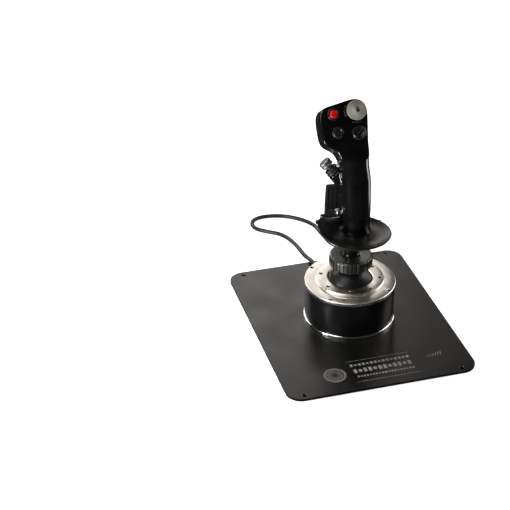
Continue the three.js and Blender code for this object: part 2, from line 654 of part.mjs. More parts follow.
function buildCord() {
  const gland = turned([
    [0, 48], [5.6, 48], [5.6, 49.6], [4.1, 49.6], [4.1, 53.9], [6, 54], [6, 56.6], [5, 57.4],
    [3.3, GLAND_END], [0, GLAND_END],
  ], 20);
  add(drum, 'cable_gland', along(gland, new THREE.Vector3(0, 0, GLAND_Z), Y_DIR), rubber);
  add(joystick, 'cord_run', cordRun(), rubber);
  const coil = ring(COIL_R + COIL_W / 2, COIL_R - COIL_W / 2, 0.1, COIL_H, 32);
  add(joystick, 'cord_coil', coil.translate(COIL_AT.x, COIL_AT.y, 0), rubber);
  const tieX = COIL_AT.x + COIL_R;
  const half = COIL_W / 2 + 0.8;
  const tie = cut(
    block(tieX - half - 1, tieX + half + 1, COIL_AT.y - 4, COIL_AT.y + 4, 0.2, COIL_H + 1.4),
    block(tieX - half, tieX + half, COIL_AT.y - 5, COIL_AT.y + 5, -1, COIL_H + 0.4),
  );
  add(joystick, 'cord_tie', tie, hatBlack);
  const plugZ = COIL_H + GAP;
  const y0 = COIL_AT.y - PLUG_OFFSET_Y;
  const body = extrude(roundedRectangle(30, 14, 4), 8, 3);
  add(joystick, 'usb_plug', body.translate(COIL_AT.x + 5, y0, plugZ), rubber);
  const shellX = COIL_AT.x + 20 + GAP;
  const mouth = block(shellX + 4, shellX + 20, y0 - 5.4, y0 + 5.4, plugZ + 2.4, plugZ + 5.6);
  const shell = cut(block(shellX, shellX + 13, y0 - 6, y0 + 6, plugZ + 1.8, plugZ + 6.2), mouth);
  add(joystick, 'usb_shell', shell, polished);
}

buildBase();
buildDrum();
buildGimbal();
buildGrip();
buildControls();
buildLevers();
buildCord();

export default joystick;
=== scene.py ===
# Flight joystick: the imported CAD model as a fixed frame, with detailed pieces
# and procedural materials round it.
import json
import math

import bmesh
import bpy
from mathutils import Matrix, Vector, noise


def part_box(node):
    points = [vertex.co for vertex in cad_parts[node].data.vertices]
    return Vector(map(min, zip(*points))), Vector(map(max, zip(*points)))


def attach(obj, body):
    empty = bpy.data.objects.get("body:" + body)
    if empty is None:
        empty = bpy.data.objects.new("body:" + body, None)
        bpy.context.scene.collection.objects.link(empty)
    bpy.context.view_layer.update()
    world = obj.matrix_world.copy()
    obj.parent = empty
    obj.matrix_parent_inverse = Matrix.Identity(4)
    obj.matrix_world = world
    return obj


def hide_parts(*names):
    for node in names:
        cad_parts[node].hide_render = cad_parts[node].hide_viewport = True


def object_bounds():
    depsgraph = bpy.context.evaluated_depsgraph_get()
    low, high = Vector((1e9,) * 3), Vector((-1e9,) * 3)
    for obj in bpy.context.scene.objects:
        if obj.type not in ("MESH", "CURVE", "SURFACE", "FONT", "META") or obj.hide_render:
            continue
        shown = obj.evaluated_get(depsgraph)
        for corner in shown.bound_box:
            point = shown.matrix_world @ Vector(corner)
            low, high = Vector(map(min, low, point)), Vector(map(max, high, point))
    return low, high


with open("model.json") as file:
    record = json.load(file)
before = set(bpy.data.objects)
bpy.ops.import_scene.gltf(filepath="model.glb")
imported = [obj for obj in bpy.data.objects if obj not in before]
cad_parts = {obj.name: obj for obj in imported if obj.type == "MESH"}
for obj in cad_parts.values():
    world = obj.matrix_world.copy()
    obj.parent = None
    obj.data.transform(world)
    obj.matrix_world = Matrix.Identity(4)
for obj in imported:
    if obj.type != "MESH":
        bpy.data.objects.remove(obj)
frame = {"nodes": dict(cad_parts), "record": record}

MM = 0.001
cad_low, cad_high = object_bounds()
JOINTS = {j["name"]: j for j in frame["record"]["behaviour"]["joints"]}
SLOT_OF = {s["node"]: s["material_slot"] for s in frame["record"]["subparts"]}


def low_high(node):
    low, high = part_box(node)
    return Vector(low), Vector(high)


def middle(node):
    low, high = low_high(node)
    return (low + high) / 2


# ---- places taken from the frame ----
RING_LOW, RING_HIGH = low_high("top_ring")
AXIS = Vector((middle("top_ring").x, middle("top_ring").y, 0))
PIVOT = Vector(JOINTS["stick_pitch"]["pos_m"])
FACE_RIGHT = Vector(JOINTS["trim_hat_fore_aft"]["axis"]).normalized()
FACE_UP = Vector(JOINTS["trim_hat_left_right"]["axis"]).normalized()
FACE_OUT = FACE_RIGHT.cross(FACE_UP).normalized()
HAT_PIVOT_DEPTH = 3.9 * MM  # the hats' pivots lie this far under the face
THUMB_OUT = -Vector(JOINTS["thumb_hat_push"]["axis"]).normalized()
SIDE_OUT = -Vector(JOINTS["steering_press"]["axis"]).normalized()
GROUND = cad_low.z


def spot_on_face(joint):
    return Vector(JOINTS[joint]["pos_m"]) + FACE_OUT * HAT_PIVOT_DEPTH


TRIM_AT = spot_on_face("trim_hat_fore_aft")
LEFT_AT = spot_on_face("left_hat_fore_aft")
RIGHT_AT = spot_on_face("right_hat_fore_aft")
RELEASE_AT = TRIM_AT - FACE_RIGHT * 25.5 * MM - FACE_UP * 2.9 * MM
THUMB_AT = Vector(JOINTS["thumb_hat_fore_aft"]["pos_m"]) + THUMB_OUT * 8.1 * MM

# ---- camera ----
CAMERA_AT = Vector((-0.5029, -1.3627, 1.0025))
CAMERA_AIM = Vector((-0.09074, 0.08515, 0.0593))
LENS = 103.77
SENSOR = 36.0


def make_camera():
    data = bpy.data.cameras.new("camera")
    data.lens = LENS
    data.sensor_width = SENSOR
    data.clip_start = 0.05
    data.clip_end = 20
    camera = bpy.data.objects.new("camera", data)
    bpy.context.scene.collection.objects.link(camera)
    camera.location = CAMERA_AT
    camera.rotation_mode = "QUATERNION"
    camera.rotation_quaternion = (CAMERA_AIM - CAMERA_AT).to_track_quat("-Z", "Y")
    bpy.context.scene.camera = camera


make_camera()

# ---- material helpers ----


class Nodes:
    """A short way to write a material's node tree."""

    def __init__(self, name):
        self.material = bpy.data.materials.new(name)
        self.material.use_nodes = True
        self.tree = self.material.node_tree
        self.shader = self.tree.nodes["Principled BSDF"]
        self.place = self.add("ShaderNodeTexCoord").outputs["Object"]

    def add(self, kind, **settings):
        node = self.tree.nodes.new(kind)
        for key, value in settings.items():
            setattr(node, key, value)
        return node

    def link(self, source, target):
        self.tree.links.new(source, target)

    def set(self, **sockets):
        for key, value in sockets.items():
            self.shader.inputs[key.replace("_", " ")].default_value = value

    def noise(self, scale, detail=4, rough=0.55, stretch=None, source=None):
        node = self.add("ShaderNodeTexNoise")
        node.inputs["Scale"].default_value = scale
        node.inputs["Detail"].default_value = detail
        node.inputs["Roughness"].default_value = rough
        place = source or self.place
        if stretch:
            mapping = self.add("ShaderNodeMapping")
            mapping.inputs["Scale"].default_value = stretch
            self.link(place, mapping.inputs["Vector"])
            place = mapping.outputs["Vector"]
        self.link(place, node.inputs["Vector"])
        return node.outputs["Fac"]

    def ramp(self, source, low, high, at=(0.35, 0.65)):
        node = self.add("ShaderNodeValToRGB")
        for element, place, colour in zip(node.color_ramp.elements, at, (low, high)):
            element.position = place
            element.color = colour if len(colour) == 4 else (*colour, 1)
        self.link(source, node.inputs["Fac"])
        return node.outputs["Color"]

    def remap(self, source, low, high):
        node = self.add("ShaderNodeMapRange")
        node.inputs["From Min"].default_value = 0.3
        node.inputs["From Max"].default_value = 0.7
        node.inputs["To Min"].default_value = low
        node.inputs["To Max"].default_value = high
        self.link(source, node.inputs["Value"])
        return node.outputs["Result"]

    def bump(self, height, strength, distance):
        node = self.add("ShaderNodeBump")
        node.inputs["Strength"].default_value = strength
        node.inputs["Distance"].default_value = distance
        self.link(height, node.inputs["Height"])
        if self.shader.inputs["Normal"].is_linked:
            self.link(self.shader.inputs["Normal"].links[0].from_socket, node.inputs["Normal"])
        self.link(node.outputs["Normal"], self.shader.inputs["Normal"])

    def radius(self, centre):
        """Distance from a vertical axis, for turning marks."""
        shift = self.add("ShaderNodeVectorMath", operation="SUBTRACT")
        shift.inputs[1].default_value = centre
        self.link(self.place, shift.inputs[0])
        flat = self.add("ShaderNodeVectorMath", operation="MULTIPLY")
        flat.inputs[1].default_value = (1, 1, 0)
        self.link(shift.outputs["Vector"], flat.inputs[0])
        length = self.add("ShaderNodeVectorMath", operation="LENGTH")
        self.link(flat.outputs["Vector"], length.inputs[0])
        return length.outputs["Value"]


def plastic(name, colour, roughness, spread=0.05, grain=900, grain_depth=0.00002, specular=0.5, coat=0.0):
    """Moulded plastic: a slight tone drift, uneven gloss and a fine surface grain."""
    n = Nodes(name)
    light = tuple(min(1, c * 1.5 + 0.002) for c in colour)
    n.link(n.ramp(n.noise(35), colour, light), n.shader.inputs["Base Color"])
    n.link(n.remap(n.noise(120, 6), roughness - spread, roughness + spread), n.shader.inputs["Roughness"])
    n.bump(n.noise(grain, 3), 0.25, grain_depth)
    n.set(Specular_IOR_Level=specular, Coat_Weight=coat, Coat_Roughness=0.08)
    return n.material


def metal(name, colour, roughness, spread=0.06, scratch=(1, 1, 1), scratch_scale=700, depth=0.00001):
    """Metal with a directional grain and small stains in its gloss."""
    n = Nodes(name)
    dark = tuple(c * 0.82 for c in colour)
    n.link(n.ramp(n.noise(60, 5), dark, colour), n.shader.inputs["Base Color"])
    grain = n.noise(scratch_scale, 4, 0.6, stretch=scratch)
    n.link(n.remap(grain, roughness - spread, roughness + spread), n.shader.inputs["Roughness"])
    n.bump(grain, 0.3, depth)
    n.set(Metallic=1.0)
    return n.material


def turned_metal(name, colour, roughness, pitch=2600):
    """Lathe-turned metal: fine rings round the drum's axis and a stretched highlight."""
    n = Nodes(name)
    radius = n.radius(AXIS)
    rings = n.add("ShaderNodeTexNoise", noise_dimensions="1D")
    rings.inputs["Scale"].default_value = pitch
    rings.inputs["Detail"].default_value = 3
    n.link(radius, rings.inputs["W"])
    dark = tuple(c * 0.88 for c in colour)
    n.link(n.ramp(rings.outputs["Fac"], dark, colour), n.shader.inputs["Base Color"])
    n.link(n.remap(n.noise(90, 5), roughness - 0.04, roughness + 0.05), n.shader.inputs["Roughness"])
    n.bump(rings.outputs["Fac"], 0.35, 0.000012)
    tangent = n.add("ShaderNodeTangent", direction_type="RADIAL", axis="Z")
    n.link(tangent.outputs["Tangent"], n.shader.inputs["Tangent"])
    n.set(Metallic=1.0, Anisotropic=0.7)
    return n.material


def coated_steel(name, colour, roughness):
    """Powder-coated sheet: a fine orange-peel texture, a warm drift of tone and faint handling marks."""
    n = Nodes(name)
    light = tuple(c * 1.9 + 0.003 for c in colour)
    n.link(n.ramp(n.noise(9, 3), colour, light), n.shader.inputs["Base Color"])
    n.link(n.remap(n.noise(26, 6), roughness - 0.05, roughness + 0.07), n.shader.inputs["Roughness"])
    n.bump(n.noise(1500, 3), 0.22, 0.00003)
    n.bump(n.noise(260, 2), 0.12, 0.00004)
    n.set(Specular_IOR_Level=0.6)
    return n.material


def board(name):
    """Circuit board: green mask with a darker pattern of tracks under it."""
    n = Nodes(name)
    tracks = n.add("ShaderNodeTexVoronoi", feature="DISTANCE_TO_EDGE")
    tracks.inputs["Scale"].default_value = 420
    n.link(n.place, tracks.inputs["Vector"])
    colour = n.ramp(tracks.outputs["Distance"], (0.03, 0.16, 0.06), (0.012, 0.08, 0.03), at=(0.05, 0.12))
    n.link(colour, n.shader.inputs["Base Color"])
    n.link(n.remap(n.noise(300), 0.3, 0.45), n.shader.inputs["Roughness"])
    n.bump(tracks.outputs["Distance"], 0.3, 0.00004)
    return n.material


MATERIALS = {
    "satin_black_steel": coated_steel("satin_black_steel", (0.0012, 0.0011, 0.001), 0.33),
    "rubber": plastic("rubber", (0.014, 0.014, 0.014), 0.78, grain=1400, grain_depth=0.00006, specular=0.3),
    "polished_metal": metal("polished_metal", (0.86, 0.85, 0.83), 0.12, 0.03),
    "gloss_black": plastic(
        "gloss_black", (0.0012, 0.0012, 0.0014), 0.24, 0.03, grain=300, grain_depth=0.000006,
        specular=0.4,
    ),
    "brushed_aluminium": turned_metal("brushed_aluminium", (0.83, 0.80, 0.755), 0.3),
    "dark_steel": metal("dark_steel", (0.105, 0.108, 0.098), 0.42, 0.08, scratch=(1, 1, 0.3)),
    "brass": metal("brass", (0.62, 0.46, 0.2), 0.3),
    "bright_steel": metal("bright_steel", (0.58, 0.58, 0.57), 0.28, scratch=(1, 1, 0.2)),
    "circuit_board": board("circuit_board"),
    "cord_jacket": plastic(
        "cord_jacket", (0.012, 0.012, 0.013), 0.42, grain=1800, grain_depth=0.00003, specular=0.4,
    ),
    "hat_black": plastic("hat_black", (0.008, 0.008, 0.0085), 0.32, grain=1300, grain_depth=0.00003),
    "grip_black": plastic(
        "grip_black", (0.0012, 0.0012, 0.0013), 0.17, 0.03, grain=1100, grain_depth=0.000014,
        specular=0.42,
    ),
    "palm_rest_black": plastic(
        "palm_rest_black", (0.003, 0.003, 0.003), 0.33, 0.04, grain=1100, grain_depth=0.00002,
    ),
    "trim_grey": plastic("trim_grey", (0.15, 0.148, 0.125), 0.46, grain=1500, grain_depth=0.00003),
    "light_grey_metal": metal("light_grey_metal", (0.33, 0.33, 0.33), 0.42, 0.06),
    "red_plastic": plastic("red_plastic", (0.36, 0.001, 0.002), 0.3, 0.04, grain=900, grain_depth=0.00001),
}
PRINT = plastic("pale_print", (0.2, 0.195, 0.185), 0.5, grain=2200, grain_depth=0.00001)
DOME_BLACK = plastic(
    "dome_black", (0.0012, 0.0012, 0.0014), 0.42, 0.04, grain=700, grain_depth=0.00001, specular=0.3,
)

# ---- mesh helpers ----
SEGMENTS = 96


def matrix_along(at, out, right=None):
    """A place whose +Z is out, and whose +X is as near to right as it can be."""
    z = Vector(out).normalized()
    x = Vector(right) if right else Vector((1, 0, 0))
    if abs(z.dot(x.normalized())) > 0.95:
        x = Vector((0, 1, 0))
    x = (x - z * x.dot(z)).normalized()
    y = z.cross(x)
    turn = Matrix((x, y, z)).transposed().to_4x4()
    return Matrix.Translation(at) @ turn


def on_face(at):
    return matrix_along(at, FACE_OUT, FACE_RIGHT)


UPRIGHT = Matrix.Translation(AXIS)
ACROSS = Vector((1, 0, 0))


def soften(points, radius, steps=3, closed=False):
    """Rounds each corner of an outline with a short curve."""
    count = len(points)
    out = []
    for i, (x, y) in enumerate(points):
        if not closed and i in (0, count - 1):
            out.append((x, y))
            continue
        p = Vector((x, y))
        a = Vector(points[i - 1]) - p
        b = Vector(points[(i + 1) % count]) - p
        if a.length < 1e-6 or b.length < 1e-6:
            out.append((x, y))
            continue
        r = min(radius, a.length * 0.45, b.length * 0.45)
        start, end = p + a.normalized() * r, p + b.normalized() * r
        for k in range(steps + 1):
            t = k / steps
            q = start * (1 - t) ** 2 + p * 2 * t * (1 - t) + end * t**2
            out.append((q.x, q.y))
    return out


def lathe(bm, profile, place=UPRIGHT, segments=SEGMENTS, closed=False, shape=None):
    """Turns a profile of (radius, height) in millimetres about +Z of place."""
    rings = []
    for r, z in profile:
        if r < 1e-5:
            rings.append([bm.verts.new(place @ Vector((0, 0, z * MM)))])
            continue
        ring = []
        for k in range(segments):
            a = 2 * math.pi * k / segments
            p = Vector((r * math.cos(a), r * math.sin(a), z))
            if shape:
                p = shape(p, a)
            ring.append(bm.verts.new(place @ (p * MM)))
        rings.append(ring)
    pairs = list(zip(rings, rings[1:]))
    if closed:
        pairs.append((rings[-1], rings[0]))
    for a, b in pairs:
        for k in range(segments):
            j = (k + 1) % segments
            if len(a) == 1 and len(b) == 1:
                continue
            if len(a) == 1:
                bm.faces.new((a[0], b[j], b[k]))
            elif len(b) == 1:
                bm.faces.new((a[k], a[j], b[0]))
            else:
                bm.faces.new((a[k], a[j], b[j], b[k]))
    return bm


def prism(bm, outline, z0, z1, place=UPRIGHT):
    """Extrudes an outline in millimetres from z0 to z1 along +Z of place."""
    low = [bm.verts.new(place @ (Vector((x, y, z0)) * MM)) for x, y in outline]
    high = [bm.verts.new(place @ (Vector((x, y, z1)) * MM)) for x, y in outline]
    count = len(outline)
    for k in range(count):
        j = (k + 1) % count
        bm.faces.new((low[k], low[j], high[j], high[k]))
    bm.faces.new(list(reversed(low)))
    bm.faces.new(high)
    return bm


def brick(bm, low, high, place=Matrix()):
    (x0, y0, z0), (x1, y1, z1) = low, high
    outline = [(x0, y0), (x1, y0), (x1, y1), (x0, y1)]
    return prism(bm, outline, z0, z1, place)


def sweep(bm, path, outline_at, closed_ends=True):
    """Lofts a run of outlines, each a list of points, along a path of (index) stations."""
    rings = [[bm.verts.new(p) for p in outline_at(i)] for i in range(path)]
    count = len(rings[0])
    for a, b in zip(rings, rings[1:]):
        for k in range(count):
            j = (k + 1) % count
            bm.faces.new((a[k], a[j], b[j], b[k]))
    if closed_ends:
        bm.faces.new(list(reversed(rings[0])))
        bm.faces.new(rings[-1])
    return bm


def make(name, bm, material=None, sharp=38, bevel=0.0, subdivide=0):
    """Turns a bmesh into a shaded object in the row frame."""
    bmesh.ops.recalc_face_normals(bm, faces=bm.faces)
    mesh = bpy.data.meshes.new(name)
    bm.to_mesh(mesh)
    bm.free()
    obj = bpy.data.objects.new(name, mesh)
    bpy.context.scene.collection.objects.link(obj)
    if material:
        mesh.materials.append(material)
    for polygon in mesh.polygons:
        polygon.use_smooth = True
    mesh.set_sharp_from_angle(angle=math.radians(sharp))
    if bevel:
        modifier = obj.modifiers.new("edge", "BEVEL")
        modifier.width = bevel * MM
        modifier.segments = 3
        modifier.limit_method = "ANGLE"
        modifier.angle_limit = math.radians(35)
        modifier.harden_normals = True
    if subdivide:
        modifier = obj.modifiers.new("fine", "SUBSURF")
        modifier.levels = subdivide
        modifier.render_levels = subdivide
    return obj


def settle(obj):
    """Applies an object's modifiers to its mesh."""
    graph = bpy.context.evaluated_depsgraph_get()
    graph.update()
    mesh = bpy.data.meshes.new_from_object(obj.evaluated_get(graph))
    obj.modifiers.clear()
    obj.data = mesh
    return obj


def carve(obj, bm, operation="DIFFERENCE"):
    """Cuts the solids in bm out of obj."""
    tool = make(obj.name + "_tool", bm)
    modifier = obj.modifiers.new("cut", "BOOLEAN")
    modifier.operation = operation
    modifier.solver = "EXACT"
    modifier.object = tool
    settle(obj)
    bpy.data.objects.remove(tool, do_unlink=True)
    return obj


def shade(obj, sharp=38):
    for polygon in obj.data.polygons:
        polygon.use_smooth = True
    obj.data.set_sharp_from_angle(angle=math.radians(sharp))
    return obj


def fit(obj, body, *nodes, slot=None):
    """Rides a piece on its body and stands it for CAD nodes; its slot is not used."""
    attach(obj, body)
    if nodes:
        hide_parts(*nodes)
    return obj


def slot_material(node):
    return MATERIALS[SLOT_OF[node]]


# ---- cord ----
CORD_D = 5.2
CORD_FLOOR = 2.8
GLAND_HIGH = low_high("cable_gland")[1]
CORD_EXIT = Vector((AXIS.x, GLAND_HIGH.y + 0.3 * MM, middle("cable_gland").z))
COIL_AT = middle("cord_coil")
COIL_R = 29.0
LAST_TURN = 0.1  # the part of the last turn before the cord leaves for its plug

# Route of the stretch that isn't coiled, in millimetres, the same as the CAD model's.
CORD_ROUTE = [
    (5, 85, 14.4), (4.7, 92, 13.6), (3.6, 102, 11), (1.6, 113, 8.4), (-1.3, 125, 7.3),
    (-3.8, 135, 7.3), (-4.9, 143, 5.9), (-5.8, 154, 3.5), (-6.6, 166, 2.9), (-8, 178, 2.8), (-11.1, 193, 2.8),
    (-15.6, 205, 2.8), (-22, 213.8, 2.8), (-30, 220, 2.8), (-38, 226, 2.8), (-46, 234, 2.8), (-49, 245, 2.8),
    (-44, 256, 2.8), (-33, 261, 2.8), (-18, 260.5, 2.8), (-2, 255.5, 2.8), (12, 246, 2.8), (23, 234, 2.8),
    (30, 220, 2.8), (32, 204, 2.8),
]


def between(a, b, c, d, t):
    """The point a part t of the way from b to c on a smooth line through all four."""
    bend = 2 * a - 5 * b + 4 * c - d
    twist = 3 * b - a - 3 * c + d
    return (2 * b + (c - a) * t + bend * t**2 + twist * t**3) / 2


def catmull(points, per_span):
    """A smooth line through the points."""
    p = [Vector(q) for q in points]
    p = [p[0] * 2 - p[1]] + p + [p[-1] * 2 - p[-2]]
    out = []
    for i in range(1, len(p) - 2):
        for k in range(per_span):
            out.append(between(*p[i - 1 : i + 3], k / per_span))
    out.append(p[-2])
    return out


def smooth_step(t):
    t = min(1, max(0, t))
    return t * t * (3 - 2 * t)


def coil_points():
    """The turns of the coil: four on the floor, three on those and two on top, then over to the plug."""
    d = CORD_D
    rise = d * 0.88
    turns = [
        (COIL_R + 1.5 * d, CORD_FLOOR), (COIL_R + d / 2, CORD_FLOOR), (COIL_R - d / 2, CORD_FLOOR),
        (COIL_R - 1.5 * d, CORD_FLOOR), (COIL_R - d, CORD_FLOOR + rise), (COIL_R, CORD_FLOOR + rise),
        (COIL_R + d, CORD_FLOOR + rise), (COIL_R + d / 2, CORD_FLOOR + 2 * rise),
        (COIL_R - d / 2, CORD_FLOOR + 2 * rise),
    ]
    steps = 48
    start = math.pi * 0.97
    out = []
    for i, (r, z) in enumerate(turns):
        after = turns[min(i + 1, len(turns) - 1)]
        last = i == len(turns) - 1
        for k in range(int(steps * (LAST_TURN if last else 1))):
            t = k / steps
            move = smooth_step((t - 0.8) / 0.2)
            radius = r + (after[0] - r) * move
            height = z + (after[1] - z) * move
            a = start + 2 * math.pi * t
            out.append(
                Vector((COIL_AT.x / MM + radius * math.cos(a), COIL_AT.y / MM + radius * math.sin(a), height))
            )
    return out


def cord_path():
    plug_low = low_high("usb_plug")[0]
    plug_z = middle("usb_plug").z / MM
    plug_y = middle("usb_plug").y / MM
    plug_x = plug_low.x / MM
    coil = coil_points()
    tail = [(plug_x - 5, plug_y + 0.5, plug_z - 0.6), (plug_x - 0.2, plug_y, plug_z)]
    route = catmull(CORD_ROUTE, 4)
    joined = [Vector(p) for p in route[:-1:2]] + [route[-1]] + coil[2:] + [Vector(p) for p in tail]
    return [p * MM for p in catmull(joined, 2)]


def make_cord():
    points = cord_path()
    curve = bpy.data.curves.new("cord", "CURVE")
    curve.dimensions = "3D"
    curve.bevel_depth = CORD_D / 2 * MM
    curve.bevel_resolution = 5
    curve.use_fill_caps = True
    spline = curve.splines.new("POLY")
    spline.points.add(len(points) - 1)
    for target, p in zip(spline.points, points):
        target.co = (*p, 1)
    curve.materials.append(MATERIALS["cord_jacket"])
    obj = bpy.data.objects.new("cord", curve)
    bpy.context.scene.collection.objects.link(obj)
    fit(obj, "base", "cord_run", "cord_coil")
    return obj, sum((b - a).length for a, b in zip(points, points[1:]))


cord, cord_length = make_cord()
print("cord length", round(cord_length, 4))


# ---- base ----
def rounded_rectangle(half_x, half_y, radius, steps=14):
    out = []
    for sx, sy, start in ((1, -1, -90), (1, 1, 0), (-1, 1, 90), (-1, -1, 180)):
        for k in range(steps + 1):
            a = math.radians(start + 90 * k / steps)
            out.append(
                (sx * (half_x - radius) + radius * math.cos(a), sy * (half_y - radius) + radius * math.sin(a))
            )
    return out


PLATE_LOW, PLATE_HIGH = low_high("base_plate")
PLATE_TOP = PLATE_HIGH.z / MM
HOLE_X, HOLE_Y, HOLE_R = 94, 127.5, 2.3


def build_plate():
    bm = bmesh.new()
    outline = rounded_rectangle(PLATE_HIGH.x / MM, PLATE_HIGH.y / MM, 18)
    prism(bm, outline, PLATE_LOW.z / MM, PLATE_TOP, Matrix())
    plate = make("plate", bm, slot_material("base_plate"))
    tools = bmesh.new()
    for sx in (-1, 1):
        for sy in (-1, 1):
            place = Matrix.Translation((sx * HOLE_X * MM, sy * HOLE_Y * MM, 0))
            sink = [
                (0, 0), (HOLE_R, 0), (HOLE_R, PLATE_TOP - 1), (HOLE_R + 1.2, PLATE_TOP + 0.2),
                (0, PLATE_TOP + 0.2),
            ]
            lathe(tools, sink, place, 40)
    carve(plate, tools)
    shade(plate)
    modifier = plate.modifiers.new("edge", "BEVEL")
    modifier.width = 0.45 * MM
    modifier.segments = 3
    modifier.limit_method = "ANGLE"
    modifier.harden_normals = True
    fit(plate, "base", "base_plate")


PRINT_SINK = 0.02
PRINT_RISE = 0.04


def stripe(bm, x0, y0, x1, y1, width):
    """A thin printed line on the plate from one point to the other."""
    a, b = Vector((x0, y0)), Vector((x1, y1))
    side = (b - a).normalized().orthogonal() * width / 2
    outline = [tuple(a - side), tuple(b - side), tuple(b + side), tuple(a + side)]
    prism(bm, outline, PLATE_TOP - PRINT_SINK, PLATE_TOP + PRINT_RISE, Matrix())


def arc_stripe(bm, cx, cy, radius, start, end, width, steps=20):
    inner, outer = [], []
    for k in range(steps + 1):
        a = math.radians(start + (end - start) * k / steps)
        inner.append((cx + (radius - width / 2) * math.cos(a), cy + (radius - width / 2) * math.sin(a)))
        outer.append((cx + (radius + width / 2) * math.cos(a), cy + (radius + width / 2) * math.sin(a)))
    prism(bm, inner + outer[::-1], PLATE_TOP - PRINT_SINK, PLATE_TOP + PRINT_RISE, Matrix())


DIAL_AT = (-50, -102)


def build_print():
    """Abstract decoration in pale ink: two pinstripes, rows of bars between them and a plain tick scale."""
    bm = bmesh.new()
    stripe(bm, -30, -82, 46, -82, 0.45)
    stripe(bm, -30, -121, 46, -121, 0.45)
    for row, (y, height, count) in enumerate(((-90, 4.5, 15), (-101, 7.5, 12), (-111.5, 3, 19))):
        x0, x1 = -28 + row, 45 - row * 0.6
        pitch = (x1 - x0) / count
        for k in range(count):
            x = x0 + pitch * k
            stripe(bm, x, y, x + pitch * 0.62, y, height * (0.62 if k % 3 == 1 else 0.95))
    for radius, width in ((12.6, 0.5), (11.2, 0.9), (4.2, 0.5)):
        for half in (0, 180):
            arc_stripe(bm, *DIAL_AT, radius, half, half + 180, width, steps=30)
    for k in range(24):
        a = math.radians(15 * k)
        c, s = math.cos(a), math.sin(a)
        inner = 5.4 if k % 2 else 6.6
        stripe(
            bm, DIAL_AT[0] + inner * c, DIAL_AT[1] + inner * s, DIAL_AT[0] + 9.6 * c,
            DIAL_AT[1] + 9.6 * s, 0.7,
        )
    for k in range(6):
        stripe(bm, 64 + 3.2 * k, -97, 66 + 3.2 * k, -97 + 2 + k, 0.9)
    print_piece = make("plate_print", bm, PRINT)
    fit(print_piece, "base", slot="light_grey_metal")


def build_feet():
    for place in ("front_left", "front_right", "rear_left", "rear_right"):
        node = "foot_" + place
        low, high = low_high(node)
        centre = middle(node)
        r, h = (high.x - low.x) / 2 / MM, (high.z - low.z) / MM
        profile = soften(
            [(0, 0.35), (r * 0.55, 0.35), (r * 0.62, 0), (r - 0.4, 0), (r, 0.5), (r, h), (0, h)], 0.3,
        )
        bm = lathe(bmesh.new(), profile, Matrix.Translation((centre.x, centre.y, low.z)), 48)
        fit(make("rubber_" + node, bm, slot_material(node)), "base", node)


# ---- drum ----
FOOT_RING_LOW, FOOT_RING_HIGH = low_high("drum_foot_ring")
SHELL_LOW, SHELL_HIGH = low_high("drum_shell")
RAISED_LOW, RAISED_HIGH = low_high("retaining_ring")
FOOT_RING_R = (FOOT_RING_HIGH.x - AXIS.x) / MM
SHELL_R = (SHELL_HIGH.x - AXIS.x) / MM
TOP_RING_R = (RING_HIGH.x - AXIS.x) / MM
RAISED_R = (RAISED_HIGH.x - AXIS.x) / MM
DOME_R = (low_high("ball_dome")[1].x - AXIS.x) / MM
OPENING_R = 26.3
HEX_R = 1.0


def cable_hole(radius):
    place = matrix_along(Vector((AXIS.x, AXIS.y, CORD_EXIT.z)), (0, 1, 0))
    return lathe(bmesh.new(), [(0, 40), (radius, 40), (radius, 70), (0, 70)], place, 40)


def build_drum():
    z0, z1 = FOOT_RING_LOW.z / MM, FOOT_RING_HIGH.z / MM
    r = FOOT_RING_R
    profile = soften([(48, z0), (r, z0), (r, z1 - 1.2), (r - 0.9, z1), (48, z1)], 0.5, closed=True)
    bm = lathe(bmesh.new(), profile, closed=True, segments=160)
    fit(make("foot_ring", bm, slot_material("drum_foot_ring")), "base", "drum_foot_ring")

    z0, z1 = SHELL_LOW.z / MM, SHELL_HIGH.z / MM
    r = SHELL_R
    profile = soften([(r - 3, z0), (r, z0), (r, z1), (r - 3, z1)], 0.4, closed=True)
    shell = make(
        "drum_housing", lathe(bmesh.new(), profile, closed=True, segments=160),
        slot_material("drum_shell"),
    )
    carve(shell, cable_hole(4.3))
    fit(shade(shell), "base", "drum_shell")


def screw(bm, place, head_r, depth, countersunk):
    """A socket screw's head with a hexagonal recess; its top lies at +Z = 0."""
    recess = []
    hexagon = [(HEX_R * head_r / 1.9 * math.cos(a), HEX_R * head_r / 1.9 * math.sin(a)) for a in
               [math.radians(60 * k) for k in range(6)]]
    top = head_r - 0.15
    side = [(head_r * 0.45, -depth), (head_r, -0.25)] if countersunk else [(head_r, -depth), (head_r, -0.25)]
    profile = [(0, -depth)] + side + [(top, 0)]
    rings = []
    segments = 24
    for radius, z in profile[1:]:
        rings.append([bm.verts.new(place @ (Vector((radius * math.cos(2 * math.pi * k / segments),
                                                    radius * math.sin(2 * math.pi * k / segments), z)) * MM))
                      for k in range(segments)])
    bottom = bm.verts.new(place @ Vector((0, 0, -depth * MM)))
    for k in range(segments):
        j = (k + 1) % segments
        bm.faces.new((bottom, rings[0][j], rings[0][k]))
        for a, b in zip(rings, rings[1:]):
            bm.faces.new((a[k], a[j], b[j], b[k]))
    for z in (0, -depth * 0.6):
        recess.append([bm.verts.new(place @ (Vector((x, y, z)) * MM)) for x, y in hexagon])
    per = segments // 6
    for side_index in range(6):
        j = (side_index + 1) % 6
        a, b = recess[0][side_index], recess[0][j]
        for k in range(per):
            outer = rings[-1][side_index * per + k]
            after = rings[-1][(side_index * per + k + 1) % segments]
            bm.faces.new((a if k < per / 2 else b, outer, after))
        mid = rings[-1][side_index * per + per // 2]
        bm.faces.new((a, mid, b))
        c, d = recess[1][j], recess[1][side_index]
        bm.faces.new((a, b, c, d))
    bm.faces.new(recess[1])
    return bm


